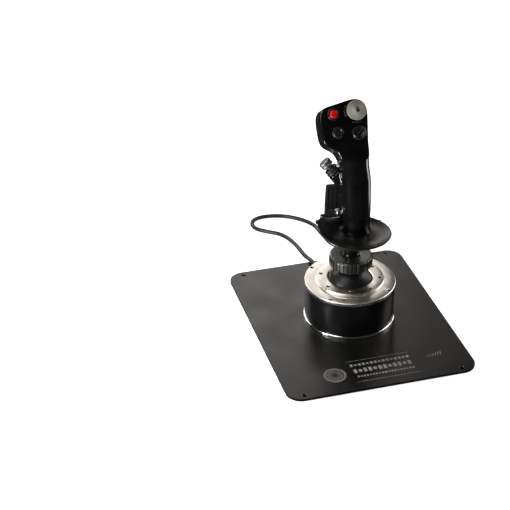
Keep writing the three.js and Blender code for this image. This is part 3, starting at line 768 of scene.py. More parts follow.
TOP_SCREWS = {
    "top_ring_screw_1": 135, "top_ring_screw_2": 225, "top_ring_screw_3": 315, "top_ring_screw_4": 45,
}
RETAINING_ANGLES = [22, -20, -65, -111, -157, 154, 110, 66]
RETAINING_SCREW_R = 34.9


def build_top_ring():
    z0, z1 = RING_LOW.z / MM, RING_HIGH.z / MM
    r = TOP_RING_R
    profile = soften([(31, z0), (r, z0), (r, z1 - 0.7), (r - 0.7, z1), (31, z1)], 0.3, closed=True)
    ring = make(
        "turned_top_ring", lathe(bmesh.new(), profile, closed=True, segments=160),
        slot_material("top_ring"),
    )
    tools = bmesh.new()
    for node in TOP_SCREWS:
        centre = middle(node)
        place = Matrix.Translation((centre.x, centre.y, 0))
        lathe(
            tools, [(0, z1 - 1.6), (2.1, z1 - 1.6), (2.1, z1 - 0.25), (2.4, z1 + 0.1), (0, z1 + 0.1)],
            place, 32,
        )
    carve(ring, tools)
    fit(shade(ring), "base", "top_ring")
    for node in TOP_SCREWS:
        centre = middle(node)
        place = Matrix.Translation((centre.x, centre.y, (z1 - 0.7) * MM))
        head = make("head_of_" + node, screw(bmesh.new(), place, 1.85, 1.0, False), slot_material(node))
        fit(head, "base", node)


def build_retaining_ring():
    z0, z1 = RAISED_LOW.z / MM, RAISED_HIGH.z / MM
    seat = DOME_R + 0.5
    pivot = PIVOT.z / MM

    def bore(z):
        return math.sqrt(seat**2 - (z - pivot) ** 2)

    outline = [
        (bore(z0), z0), (RAISED_R, z0), (RAISED_R, z0 + 0.9), (RAISED_R - 0.7, z0 + 1.1),
        (RAISED_R - 0.7, z1 - 0.7),
        (RAISED_R - 1.3, z1), (OPENING_R + 1.1, z1), (OPENING_R, z1 - 0.7), (bore(z1 - 1.6), z1 - 1.6),
    ]
    profile = soften(outline, 0.3, closed=True)
    ring = make(
        "turned_retaining_ring", lathe(bmesh.new(), profile, closed=True, segments=160),
        slot_material("retaining_ring"),
    )
    tools = bmesh.new()
    spots = []
    for angle in RETAINING_ANGLES:
        a = math.radians(angle)
        at = AXIS + Vector((math.cos(a), math.sin(a), 0)) * RETAINING_SCREW_R * MM
        spots.append(at)
        lathe(tools, [(0, z1 - 1.8), (1.1, z1 - 1.8), (2.35, z1 - 0.35), (2.45, z1 + 0.1), (0, z1 + 0.1)],
              Matrix.Translation(at), 32)
    carve(ring, tools)
    fit(shade(ring), "base", "retaining_ring")
    for index, at in enumerate(spots):
        place = Matrix.Translation((at.x, at.y, (z1 - 0.3) * MM)) @ Matrix.Rotation(index * 0.7, 4, "Z")
        head = make(
            f"retaining_screw_{index + 1}", screw(bmesh.new(), place, 2.1, 1.2, True),
            MATERIALS["dark_steel"],
        )
        fit(head, "base", slot="dark_steel")


def build_dome():
    pivot = PIVOT.z / MM
    hole = 7.0
    outer, inner = [], []
    steps = 30
    reach = math.acos(hole / DOME_R)
    inner_r = DOME_R - 2
    reach_in = math.acos(hole / inner_r)
    for k in range(steps + 1):
        a = reach * k / steps
        b = reach_in * (1 - k / steps)
        outer.append((DOME_R * math.cos(a), pivot + DOME_R * math.sin(a)))
        inner.append((inner_r * math.cos(b), pivot + inner_r * math.sin(b)))
    bm = lathe(bmesh.new(), outer + inner, closed=True, segments=128)
    fit(make("dome", bm, DOME_BLACK, sharp=50), "stick", "ball_dome")


NUT_LOW, NUT_HIGH = low_high("collar_nut")
NUT_R = (NUT_HIGH.x - AXIS.x) / MM
RIB_COUNT = 32
PLAIN_SPAN = (-88, -62)  # degrees round the nut left without ribs


def nut_radius(angle, depth):
    """How far a groove cuts in at an angle round the nut."""
    degrees = math.degrees(angle)
    degrees = degrees - 360 if degrees > 180 else degrees
    if PLAIN_SPAN[0] < degrees < PLAIN_SPAN[1]:
        return 0
    phase = (angle * RIB_COUNT / (2 * math.pi)) % 1
    groove = smooth_step((phase - 0.5) / 0.12) - smooth_step((phase - 0.88) / 0.12)
    return depth * groove


def build_nut():
    z0, z1 = NUT_LOW.z / MM, NUT_HIGH.z / MM
    r = NUT_R
    outline = [
        (10.5, z0 + 0.4), (12.5, z0), (r - 1.6, z0), (r - 0.3, z0 + 1.2), (r, z0 + 1.8), (r, z1 - 2.0),
        (r - 0.3, z1 - 1.3),
        (r - 1.5, z1 - 0.2), (r - 2.6, z1), (12.6, z1 - 0.9), (11.6, z1 - 1.3), (10.5, z1 - 1.6),
    ]
    profile = soften(outline, 0.5, closed=True)

    def ribbed(p, a):
        reach = math.hypot(p.x, p.y)
        weight = smooth_step((reach - (r - 1.9)) / 0.9)
        cut = nut_radius(a, 1.15) * weight
        scale = (reach - cut) / reach
        return Vector((p.x * scale, p.y * scale, p.z))

    bm = lathe(bmesh.new(), profile, closed=True, segments=RIB_COUNT * 18, shape=ribbed)
    nut = make("knurled_nut", bm, slot_material("collar_nut"), sharp=42)
    tools = bmesh.new()
    at = AXIS + Vector((-9.5, -12.8, 0)) * MM
    lathe(tools, [(0, z1 - 2.6), (1.9, z1 - 2.6), (1.9, z1 + 1), (0, z1 + 1)], Matrix.Translation(at), 28)
    carve(nut, tools)
    fit(shade(nut, 42), "collar", "collar_nut")
    set_screw = screw(bmesh.new(), Matrix.Translation((at.x, at.y, (z1 - 1.7) * MM)), 1.75, 0.8, False)
    fit(make("nut_set_screw", set_screw, MATERIALS["dark_steel"]), "collar", slot="dark_steel")


# ---- grip ----
REST_RIM = 124.5
REST_A, REST_B = 43, 38.5
REST_AT = Vector((0.2, -8))
REST_TURN = math.radians(-20)
REST_WING = 11


def drum_point(x, y, z):
    """Millimetres about the drum's axis to a point in the row frame."""
    return AXIS + Vector((x, y, z)) * MM


def build_palm_rest():
    outline = [
        (0.30, -7.2), (0.42, -8.4), (0.6, -7.9), (0.8, -6.4), (0.92, -4.6), (0.985, -2.6), (1.0, -1.3),
        (0.992, -0.3),
        (0.972, 0.0), (0.95, -0.2), (0.90, -1.0), (0.82, -2.0), (0.70, -2.7), (0.58, -2.7), (0.46, -2.2),
        (0.30, -1.4),
    ]
    cosine, sine = math.cos(REST_TURN), math.sin(REST_TURN)

    def dished(p, a):
        x, y = p.x * REST_A, p.y * REST_B
        side = max(0.0, -p.x)
        z = p.z + REST_RIM + REST_WING * side**3
        return Vector((x * cosine - y * sine + REST_AT.x, x * sine + y * cosine + REST_AT.y, z))

    profile = soften(outline, 0.06, steps=2, closed=True)
    bm = lathe(bmesh.new(), profile, closed=True, segments=144, shape=dished)
    rest = make("hand_rest", bm, slot_material("palm_rest"), sharp=60)
    low, high = low_high("paddle_bracket")
    clear = Vector((0.5, 0.3, 0)) * MM
    tools = brick(bmesh.new(), (low - clear) / MM, (high + clear + Vector((0, 40, 30)) * MM) / MM)
    carve(rest, tools)
    fit(shade(rest, 50), "stick", "palm_rest")


def build_neck():
    low, high = low_high("grip_neck")
    z0, z1 = low.z / MM, high.z / MM
    outline = [
        (6.8, z0), (10, z0), (10.2, z0 + 1.6), (9.4, z0 + 2.2), (9.4, z0 + 6.6), (11.2, z0 + 8.6),
        (11.2, z0 + 10.6),
        (12.4, z0 + 12), (14.3, z1 - 2), (14.4, z1), (6.8, z1),
    ]
    bm = lathe(bmesh.new(), soften(outline, 0.5, closed=True), closed=True)
    fit(make("neck", bm, slot_material("grip_neck")), "stick", "grip_neck")


# Stations up the grip column in millimetres about the drum's axis:
# height, centre x and y, half width, half depth.
COLUMN = [
    (118, 4.6, 3.8, 20, 24.6), (122.8, 4.5, 3.8, 18.4, 23.1), (126.2, 4.3, 3.7, 16.8, 21.5),
    (131, 4.2, 3.6, 16.8, 21.5), (142, 3.5, 3.4, 17.8, 22.4), (156, 2.7, 3.2, 18.4, 23),
    (174, 1.8, 3.0, 18.7, 23.4), (192, 0.8, 2.4, 18.5, 23.4), (206, -1.2, 0.9, 17.8, 23),
    (218, -2.8, -1.4, 17.3, 22.9),
    (230, -3.8, -3.4, 17.1, 22.8), (240, -5, -3.2, 17, 22.2), (248, -6, -2.2, 16.5, 20),
]
HEAD_DEPTH = 36
COVER_DEPTH = 7.0
PARTING = 0.06
COVER_FOOT = -60
SPLIT_X = -4

FACE_CORNERS = [
    (11.2, -52), (11.6, -34), (12.2, -22), (12.9, -8), (12.8, 1), (10.6, 7.4), (5.6, 11.7), (-1.5, 13.2),
    (-8, 12.2),
    (-20, 9.1), (-32, 6), (-37.4, 3.6), (-40.4, -0.6), (-41.6, -7), (-41.2, -17), (-40.2, -27),
    (-38.4, -33.2),
    (-35, -37.4), (-30.5, -40.2), (-26.2, -43), (-22.6, -47.4), (-19.8, -53), (-12, -55), (3, -55),
]


def spline_loop(points, per_span):
    """A closed smooth outline through the points."""
    p = [Vector(q) for q in points]
    out = []
    count = len(p)
    for i in range(count):
        four = (p[i - 1], p[i], p[(i + 1) % count], p[(i + 2) % count])
        for k in range(per_span):
            out.append(between(*four, k / per_span))
    return out


def inset_loop(points, amount):
    """The outline moved inwards."""
    count = len(points)
    out = []
    for i, p in enumerate(points):
        along = (points[(i + 1) % count] - points[i - 1]).normalized()
        out.append(p + Vector((-along.y, along.x)) * amount)
    return out


def station(z):
    """The column's smoothly interpolated station at a height."""
    rows = COLUMN
    i = 0
    while i < len(rows) - 2 and rows[i + 1][0] < z:
        i += 1
    a, b = rows[max(i - 1, 0)], rows[i]
    c, d = rows[i + 1], rows[min(i + 2, len(rows) - 1)]
    t = min(1, max(0, (z - b[0]) / (c[0] - b[0])))
    return [
        (2 * b[k] + (c[k] - a[k]) * t + (2 * a[k] - 5 * b[k] + 4 * c[k] - d[k]) * t**2
         + (3 * b[k] - a[k] - 3 * c[k] + d[k]) * t**3) / 2
        for k in range(1, 5)
    ]


def column_mesh(bm, inset, z0, z1, rings=64, segments=80):
    def outline_at(i):
        z = z0 + (z1 - z0) * i / (rings - 1)
        cx, cy, a, b = station(z)
        out = []
        for k in range(segments):
            t = 2 * math.pi * k / segments
            out.append(drum_point(cx + (a - inset) * math.cos(t), cy + (b - inset) * math.sin(t), z))
        return out

    return sweep(bm, rings, outline_at)


FACE_ORIGIN = on_face(TRIM_AT)


def head_mesh(bm, inset, near, far, round_near, round_far):
    """The head's outline drawn from n = -near back to n = -far, with rounded ends."""
    loop = spline_loop(FACE_CORNERS, 5)
    steps = 6
    levels = []
    for k in range(steps + 1):
        a = math.pi / 2 * k / steps
        levels.append((-far + round_far * (1 - math.cos(a)), round_far * (1 - math.sin(a))))
    for k in range(steps + 1):
        a = math.pi / 2 * (1 - k / steps)
        levels.append((-near - round_near * (1 - math.cos(a)), round_near * (1 - math.sin(a))))

    def outline_at(i):
        n, pull = levels[i]
        points = inset_loop(loop, inset + pull)
        return [FACE_ORIGIN @ (Vector((p.x, p.y, n)) * MM) for p in points]

    return sweep(bm, len(levels), outline_at)


def keep_side(source, name, cuts):
    """A copy of the mesh kept on the inner side of each cut: (point, outward normal)."""
    bm = bmesh.new()
    bm.from_mesh(source)
    for point, normal in cuts:
        geometry = bm.verts[:] + bm.edges[:] + bm.faces[:]
        result = bmesh.ops.bisect_plane(
            bm, geom=geometry, plane_co=point, plane_no=normal, clear_outer=True, dist=1e-7,
        )
        edges = [e for e in result["geom_cut"] if isinstance(e, bmesh.types.BMEdge)]
        bmesh.ops.holes_fill(bm, edges=edges, sides=0)
    return make(name, bm, sharp=45)


def grip_solid():
    """The handle as one blended solid, before it is split into its mouldings."""
    bm = bmesh.new()
    column_mesh(bm, 0, REST_RIM - 2.9, 248)
    head_mesh(bm, 0, 0, HEAD_DEPTH, 1.6, 7)
    cone = THUMB_AT - THUMB_OUT * 24 * MM
    lathe(bm, [(0, -9), (9.6, -9), (9.0, 0), (8.6, 9.2), (0, 9.2)], matrix_along(cone, THUMB_OUT), 64)
    boss = middle("steering_button")
    lathe(bm, [(0, -12), (7.2, -12), (5.8, -0.6), (0, -0.6)], matrix_along(boss, SIDE_OUT), 48)
    obj = make("grip_solid", bm)
    remesh = obj.modifiers.new("blend", "REMESH")
    remesh.mode = "VOXEL"
    remesh.voxel_size = 0.75 * MM
    smooth = obj.modifiers.new("soft", "SMOOTH")
    smooth.factor = 0.6
    smooth.iterations = 14
    return settle(obj)


def copy_of(obj, name):
    out = obj.copy()
    out.data = obj.data.copy()
    out.name = name
    bpy.context.scene.collection.objects.link(out)
    return out


def trigger_lugs():
    """Two ears behind the head that carry the trigger's pin."""
    low, high = low_high("trigger_pin")
    outer = (high.x - low.x) / 2 / MM
    ear = soften([(-20, -7), (-4, -6), (3.6, -4), (4.8, 1), (3, 5.6), (-20, 8)], 2.4, 5, closed=True)
    bm = bmesh.new()
    for x0, x1 in ((-outer, TRIGGER_LUG - outer), (outer - TRIGGER_LUG, outer)):
        prism(bm, ear, x0, x1, side_place(TRIGGER_AT))
    return bm


def front_block(back):
    """The space in front of the head's parting plane, down to the foot of the cover."""
    return brick(
        bmesh.new(), (-80, COVER_FOOT + PARTING - back, -COVER_DEPTH - back), (60, 40, 25), FACE_ORIGIN,
    )


def build_grip():
    """The two handle shells and the cover, cut from one blended solid."""
    solid = grip_solid()
    pocket = bmesh.new()
    lathe(pocket, [(0, -14), (8.9, -14), (8.9, 30), (0, 30)], matrix_along(THUMB_AT, THUMB_OUT), 64)
    mode_at, steering_at = middle("mode_button"), middle("steering_button")
    lathe(pocket, [(0, -6), (3.15, -6), (3.5, 1.2), (3.5, 12), (0, 12)], matrix_along(mode_at, SIDE_OUT), 40)
    lathe(pocket, [(0, -9), (4.75, -9), (4.75, 12), (0, 12)], matrix_along(steering_at, SIDE_OUT), 48)
    carve(solid, pocket)
    carve(solid, trigger_lugs(), "UNION")
    carve(solid, pin_hole(TRIGGER_AT, 14))
    cover = carve(copy_of(solid, "face_cover"), front_block(0), "INTERSECT")
    carve(solid, front_block(PARTING))
    wells = bmesh.new()
    face_hole(wells, TRIM_AT, 6.3)
    face_hole(wells, RELEASE_AT, 4.9)
    face_hole(wells, LEFT_AT, 4.9)
    face_hole(wells, RIGHT_AT, 5.5)
    carve(cover, wells)
    dress(cover, "head_cover")
    split = drum_point(SPLIT_X, 0, 0)
    gap = Vector((PARTING * MM, 0, 0))
    for name, node, point, outward in (
        ("handle_left", "grip_left_shell", split - gap, ACROSS),
        ("handle_right", "grip_right_shell", split + gap, -ACROSS),
    ):
        dress(keep_side(solid.data, name, [(point, outward)]), node)
    bpy.data.objects.remove(solid, do_unlink=True)


def dress(obj, node):
    """Gives a moulding its finish and lets it stand for its CAD node."""
    obj.data.materials.clear()
    obj.data.materials.append(slot_material(node))
    fit(shade(obj, 50), "stick", node)


def face_hole(bm, at, radius, deep=9, rim=0.5):
    profile = [(0, -deep), (radius, -deep), (radius, -rim), (radius + rim, 0.01), (radius + rim, 3), (0, 3)]
    return lathe(bm, profile, on_face(at), 56)


def build_face_marks():
    """Plain tick marks round the trim hat, in pale ink."""
    bm = bmesh.new()
    for centre, width in ((90, 46), (180, 46), (270, 40)):
        for k in range(7):
            a = math.radians(centre - width / 2 + width * k / 6)
            c, s = math.cos(a), math.sin(a)
            inner, outer = 12.7, 14.0 if k % 3 == 0 else 13.5
            side = Vector((-s, c)) * 0.22
            corners = []
            for reach, sign in ((inner, -1), (outer, -1), (outer, 1), (inner, 1)):
                p = Vector((c * reach, s * reach)) + side * sign
                corners.append((p.x, p.y))
            if centre == 90 and corners[1][1] > 12.2:
                continue
            prism(bm, corners, -0.03, 0.04, on_face(TRIM_AT))
    fit(make("face_ticks", bm, PRINT), "stick", slot="light_grey_metal")


# ---- hats and buttons ----
def fluted(count, depth, inside):
    """A lathe shape with flutes cut into the rim beyond a radius."""

    def shape(p, a):
        reach = math.hypot(p.x, p.y)
        phase = (a * count / (2 * math.pi)) % 1
        groove = smooth_step(phase / 0.2) - smooth_step((phase - 0.5) / 0.2)
        scale = 1 - depth * groove * smooth_step((reach - inside) / 0.4) / max(reach, 1)
        return Vector((p.x * scale, p.y * scale, p.z))

    return shape


NOTCH_FOOT = 2.8  # the notches start this high, so a tilted hat clears the face
NOTCH_FADE = 3.2  # and reach their full depth over this height


def castellated(count, inside, drop):
    """A lathe shape with notches cut down into its rim beyond a radius."""

    def shape(p, a):
        reach = math.hypot(p.x, p.y)
        phase = (a * count / (2 * math.pi)) % 1
        groove = smooth_step((phase - 0.1) / 0.08) - smooth_step((phase - 0.52) / 0.08)
        weight = smooth_step((reach - inside) / 0.5) * smooth_step((p.z - NOTCH_FOOT) / NOTCH_FADE)
        return Vector((p.x, p.y, p.z - drop * groove * weight))

    return shape


def petals(inside, outside, drop):
    """A lathe shape with four petals sunk into its top."""

    def shape(p, a):
        reach = math.hypot(p.x, p.y)
        phase = (a * 4 / (2 * math.pi) + 0.5) % 1
        petal = smooth_step((phase - 0.16) / 0.1) - smooth_step((phase - 0.74) / 0.1)
        band = smooth_step((reach - inside) / 0.6) - smooth_step((reach - outside) / 0.6)
        weight = petal * band if p.z > drop else 0
        return Vector((p.x, p.y, p.z - drop * weight))

    return shape


def finely(points, step=0.35):
    """The profile with extra points, so that a lathe shape can bend it."""
    out = []
    for (r0, z0), (r1, z1) in zip(points, points[1:]):
        count = max(1, int(math.hypot(r1 - r0, z1 - z0) / step))
        for k in range(count):
            out.append((r0 + (r1 - r0) * k / count, z0 + (z1 - z0) * k / count))
    out.append(points[-1])
    return out


def build_trim_hat():
    brim = [
        (0, -2.2), (2.9, -2.2), (2.9, 1.7), (9.9, 2.2), (11.1, 2.6), (11.4, 3.3), (11.2, 4.1),
        (10.5, 4.7), (9.2, 5.2),
        (6.8, 6.1), (4.4, 7.4), (3.2, 7.9), (2.7, 8.2), (0, 8.3),
    ]
    bm = lathe(bmesh.new(), soften(brim, 0.5), on_face(TRIM_AT), 144, shape=fluted(36, 0.22, 10.4))
    fit(make("trim_hat", bm, slot_material("trim_hat_cap"), sharp=50), "trim_cap", "trim_hat_cap")
    tip = [(0, 7.6), (2.5, 7.6), (2.6, 8.5), (2.2, 9.2), (1.4, 9.7), (0.7, 9.8), (0, 9.7)]
    bm = lathe(bmesh.new(), soften(tip, 0.3), on_face(TRIM_AT), 48)
    fit(make("trim_hat_tip", bm, MATERIALS["dark_steel"]), "trim_cap", slot="dark_steel")


def build_face_hats():
    left = [
        (0, -2.2), (2.6, -2.2), (2.6, 1.5), (5.9, 1.5), (6.5, 2.0), (6.6, 2.8), (6.3, 6.0), (5.7, 6.6),
        (4.2, 6.5),
        (3.5, 5.6), (3.2, 4.9), (0, 4.7),
    ]
    bm = lathe(bmesh.new(), finely(left), on_face(LEFT_AT), 144, shape=castellated(8, 3.9, 1.7))
    fit(make("left_hat", bm, slot_material("left_hat_cap"), sharp=40), "left_cap", "left_hat_cap")
    right = [
        (0, -2.2), (2.8, -2.2), (2.8, 1.5), (7.0, 1.5), (7.8, 1.9), (8.0, 2.6), (7.7, 4.8), (7.0, 5.5),
        (6.0, 5.4),
        (3.2, 4.4), (1.8, 4.3), (0, 4.6),
    ]
    bm = lathe(bmesh.new(), finely(right), on_face(RIGHT_AT), 144, shape=petals(1.9, 6.4, 1.5))
    fit(make("right_hat", bm, slot_material("right_hat_cap"), sharp=40), "right_cap", "right_hat_cap")


def build_buttons():
    bezel = [(4.95, 0.3), (6.8, 0.3), (6.8, 1.0), (6.3, 1.7), (5.5, 1.7), (4.95, 1.1)]
    bm = lathe(bmesh.new(), soften(bezel, 0.25, closed=True), on_face(RELEASE_AT), 72, closed=True)
    fit(make("button_bezel", bm, slot_material("release_bezel")), "stick", "release_bezel")
    button = [(0, -4), (4.5, -4), (4.5, 2.7), (4.3, 3.5), (3.6, 4.1), (2.4, 4.3), (0, 4.1)]
    bm = lathe(bmesh.new(), soften(button, 0.5), on_face(RELEASE_AT), 72)
    fit(make("red_button", bm, slot_material("release_button")), "release", "release_button")

    at = middle("mode_button") + SIDE_OUT * 0.95 * MM
    button = [(0, -4), (2.75, -4), (2.75, 1.3), (2.4, 1.9), (1.7, 2.1), (1.4, 1.7), (0, 1.6)]
    bm = lathe(bmesh.new(), soften(button, 0.2), matrix_along(at, SIDE_OUT), 48)
    fit(make("mode_push", bm, slot_material("mode_button")), "mode", "mode_button")
    at = middle("steering_button") - SIDE_OUT * 1.7 * MM
    button = [(0, -2), (4.35, -2), (4.35, 4.2), (4.0, 4.9), (3.2, 5.3), (0, 5.4)]
    bm = lathe(bmesh.new(), soften(button, 0.3), matrix_along(at, SIDE_OUT), 56)
    fit(make("steering_push", bm, slot_material("steering_button")), "steering", "steering_button")


def build_thumb_hat():
    place = matrix_along(THUMB_AT, THUMB_OUT, (1, 0, 0.9))
    cap = [
        (0, -6.6), (3.2, -6.6), (3.2, -4.6), (6.3, -4.4), (7.0, -4.0), (7.3, -3.2), (7.3, -1.7),
        (6.6, -1.3), (6.6, -0.5),
        (7.3, -0.1), (7.3, 2.3), (6.9, 2.9), (6.3, 3.1), (0, 3.1),
    ]
    bm = lathe(bmesh.new(), finely(soften(cap, 0.3), 0.5), place, 96, shape=fluted(8, 0.5, 5.6))
    for across in (-3.9, -1.3, 1.3, 3.9):
        reach = math.sqrt(5.9**2 - across**2)
        brick(bm, (-reach, across - 0.75, 2.6), (reach, across + 0.75, 3.8), place)
    hat = make("thumb_hat", bm, slot_material("thumb_hat_cap"), sharp=40)
    fit(hat, "thumb_cap", "thumb_hat_cap")
    boss = [
        (4.6, -13.5), (8.6, -13.5), (8.6, -12.4), (7.9, -12.0), (7.7, -9.6), (8.1, -9.2), (8.1, -8.3),
        (7.0, -7.4),
        (5.4, -7.2), (4.6, -7.2),
    ]
    bm = lathe(bmesh.new(), soften(boss, 0.3, closed=True), place, 72, closed=True)
    fit(make("thumb_hat_collar", bm, slot_material("thumb_hat_boss")), "stick", "thumb_hat_boss")


# ---- levers ----
PIVOT_BORE = 1.6
PIVOT_PIN = 1.3
PADDLE_AT = Vector(JOINTS["paddle_squeeze"]["pos_m"])
TRIGGER_AT = Vector(JOINTS["trigger_pull"]["pos_m"])
TRIGGER_LUG = 3.5


def plane_place(at, right, up):
    """A place whose +X is right, whose +Y is up, and whose +Z is out of their plane."""
    out = Vector(right).cross(Vector(up))
    turn = Matrix((Vector(right), Vector(up), out)).transposed().to_4x4()
    return Matrix.Translation(at) @ turn


def side_place(at):
    return plane_place(at, (0, 1, 0), (0, 0, 1))


def bend(start, control, end, steps):
    """Points along a curve from start towards end, without the end itself."""
    out = []
    for k in range(steps):
        t = k / steps
        out.append(tuple(
            start[i] * (1 - t) ** 2 + control[i] * 2 * t * (1 - t) + end[i] * t**2 for i in (0, 1)
        ))
    return out


def pin_hole(at, half):
    return lathe(bmesh.new(), [(0, -half), (PIVOT_BORE, -half), (PIVOT_BORE, half), (0, half)],
                 matrix_along(at, ACROSS), 40)


def pin(name, node, at):
    low, high = low_high(node)
    half = (high.x - low.x) / 2 / MM
    profile = [(0, -half), (PIVOT_PIN - 0.4, -half), (PIVOT_PIN, -half + 0.4), (PIVOT_PIN, half - 0.4),
               (PIVOT_PIN - 0.4, half), (0.5, half), (0.4, half - 0.3), (0, half - 0.3)]
    bm = lathe(bmesh.new(), profile, matrix_along(at, ACROSS), 40)
    fit(make(name, bm, slot_material(node)), "stick", node)


def build_trigger():
    low, high = low_high("trigger")
    half = (high.x - low.x) / 2 / MM
    knuckle = [(3.4 * math.cos(a), 3.4 * math.sin(a)) for a in [math.pi * (1 - k / 14) for k in range(15)]]
    rear = bend((3.4, 0), (5, -12), (7.5, -21), 12) + bend((7.5, -21), (9, -27), (13, -30), 8) + [(13, -30)]
    front = bend((11.5, -32), (5.5, -29), (3.5, -21), 8) + bend((3.5, -21), (1, -12), (-3.4, 0), 12)
    bm = prism(bmesh.new(), knuckle + rear[1:] + front, -half, half, side_place(TRIGGER_AT))
    trigger = make("trigger_blade", bm, slot_material("trigger"), bevel=1.3)
    settle(trigger)
    carve(trigger, pin_hole(TRIGGER_AT, 12))
    tools = bmesh.new()
    for k in range(6):
        at = TRIGGER_AT + Vector((0, 5.4 + 0.55 * k, -8 - 2.6 * k)) * MM
        lathe(tools, [(0, -12), (0.7, -12), (0.7, 12), (0, 12)], matrix_along(at, ACROSS), 16)
    carve(trigger, tools)
    fit(shade(trigger, 40), "trigger", "trigger")
    pin("trigger_axle", "trigger_pin", TRIGGER_AT)


def build_paddle():
    low, high = low_high("paddle_lever")
    half = (high.x - low.x) / 2 / MM
    top = (high.z - PADDLE_AT.z) / MM
    outline = soften(
        [(-half, -1), (-half, 18), (-half + 0.9, top), (half, top - 1.6), (half, -1)], 2.2, 5,
        closed=True,
    )
    place = plane_place(PADDLE_AT, (1, 0, 0), (0, 0, 1))
    paddle = make(
        "paddle", prism(bmesh.new(), outline, -1.5, 1.5, place), slot_material("paddle_lever"), bevel=0.6,
    )
    settle(paddle)
    tools = bmesh.new()
    for k in range(4):
        x = -half + 3.4 + 5.2 * k
        panel = soften([(x, 8), (x + 3.6, 8), (x + 3.6, top - 6), (x, top - 6)], 1.6, 5, closed=True)
        prism(tools, panel, 1.0, 4, place)
        prism(tools, panel, -4, -1.0, place)
    carve(paddle, tools)
    knuckle = lathe(
        bmesh.new(), [(0, -half), (3, -half), (3, half), (0, half)], matrix_along(PADDLE_AT, ACROSS), 48,
    )
    carve(paddle, knuckle, "UNION")
    carve(paddle, pin_hole(PADDLE_AT, 20))
    fit(shade(paddle, 40), "paddle", "paddle_lever")
    pin("paddle_axle", "paddle_pin", PADDLE_AT)


def build_paddle_bracket():
    low, high = low_high("paddle_bracket")
    y0, y1 = (low.y - PADDLE_AT.y) / MM, (high.y - PADDLE_AT.y) / MM
    outer = (high.x - low.x) / 2 / MM
    lug = 3.7
    side = soften(
        [(y0, -9), (y1, -9), (y1, 0.6), (y1 - 2.4, 3.2), (-2.4, 3.2), (y0, -1.5)], 1.2, 4, closed=True,
    )
    bm = bmesh.new()
    for x0, x1 in ((-outer, lug - outer), (outer - lug, outer)):
        prism(bm, side, x0, x1, side_place(PADDLE_AT))
    bracket = make("paddle_mount", bm, slot_material("paddle_bracket"))
    bridge = soften([(y0, -9), (y1, -9), (y1, -4), (y0, -4)], 0.8, 3, closed=True)
    carve(bracket, prism(bmesh.new(), bridge, -outer, outer, side_place(PADDLE_AT)), "UNION")
    carve(bracket, pin_hole(PADDLE_AT, 20))
    modifier = bracket.modifiers.new("edge", "BEVEL")
    modifier.width = 0.4 * MM
    modifier.segments = 2
    modifier.limit_method = "ANGLE"
    fit(shade(bracket, 40), "stick", "paddle_bracket")
    ear = soften([(-2.4, -9), (2.4, -9), (2.4, -4.2), (-2.4, -4.2)], 1.2, 4, closed=True)
    bm = prism(bmesh.new(), ear, -outer - 6.2, -outer + 0.4, side_place(PADDLE_AT))
    fit(make("paddle_mount_ear", bm, slot_material("paddle_bracket"), bevel=0.8), "stick", slot="grip_black")


# ---- cord ends ----
def build_gland():
    low, high = low_high("cable_gland")
    start, tip = (low.y - AXIS.y) / MM, (high.y - AXIS.y) / MM
    place = matrix_along(Vector((AXIS.x, AXIS.y, CORD_EXIT.z)), (0, 1, 0))
    profile = [
        (0, start), (5.6, start), (5.6, 49.6), (4.1, 49.6), (4.1, 53.9), (6, 54), (6, 56.6), (5.1, 57.4),
    ]
    ribs = 7
    pitch = (tip - 58) / ribs
    for k in range(ribs):
        y = 58 + pitch * k
        r = 4.9 - 1.6 * k / (ribs - 1)
        profile += [
            (r - 0.1, y), (r, y + pitch * 0.5), (r - 0.65, y + pitch * 0.58), (r - 0.7, y + pitch * 0.95),
        ]
    profile += [(2.9, tip - 0.1), (2.6, tip), (0, tip)]
    bm = lathe(bmesh.new(), profile, place, 48)
    fit(make("strain_relief", bm, slot_material("cable_gland"), sharp=45), "base", "cable_gland")


def build_tie():
    low, high = low_high("cord_tie")
    at = (low + high) / 2
    half_x, half_z = (high.x - low.x) / 2 / MM, (high.z - low.z) / 2 / MM
    width = (high.y - low.y) / 2 / MM
    place = plane_place(at, (1, 0, 0), (0, 0, 1))
    outline = rounded_rectangle(half_x, half_z, 3.2, 6)
    tie = make("tie_strap", prism(bmesh.new(), outline, -width, width, place), slot_material("cord_tie"))
    inner = rounded_rectangle(half_x - 0.9, half_z - 0.9, 2.4, 6)
    carve(tie, prism(bmesh.new(), inner, -width - 1, width + 1, place))
    tools = bmesh.new()
    for k in range(9):
        x = -5 + 1.25 * k
        brick(tools, (x, half_z - 0.25, -width + 1), (x + 0.6, half_z + 1, width - 1), place)
    carve(tie, tools)
    return fit(shade(tie, 40), "base", "cord_tie")


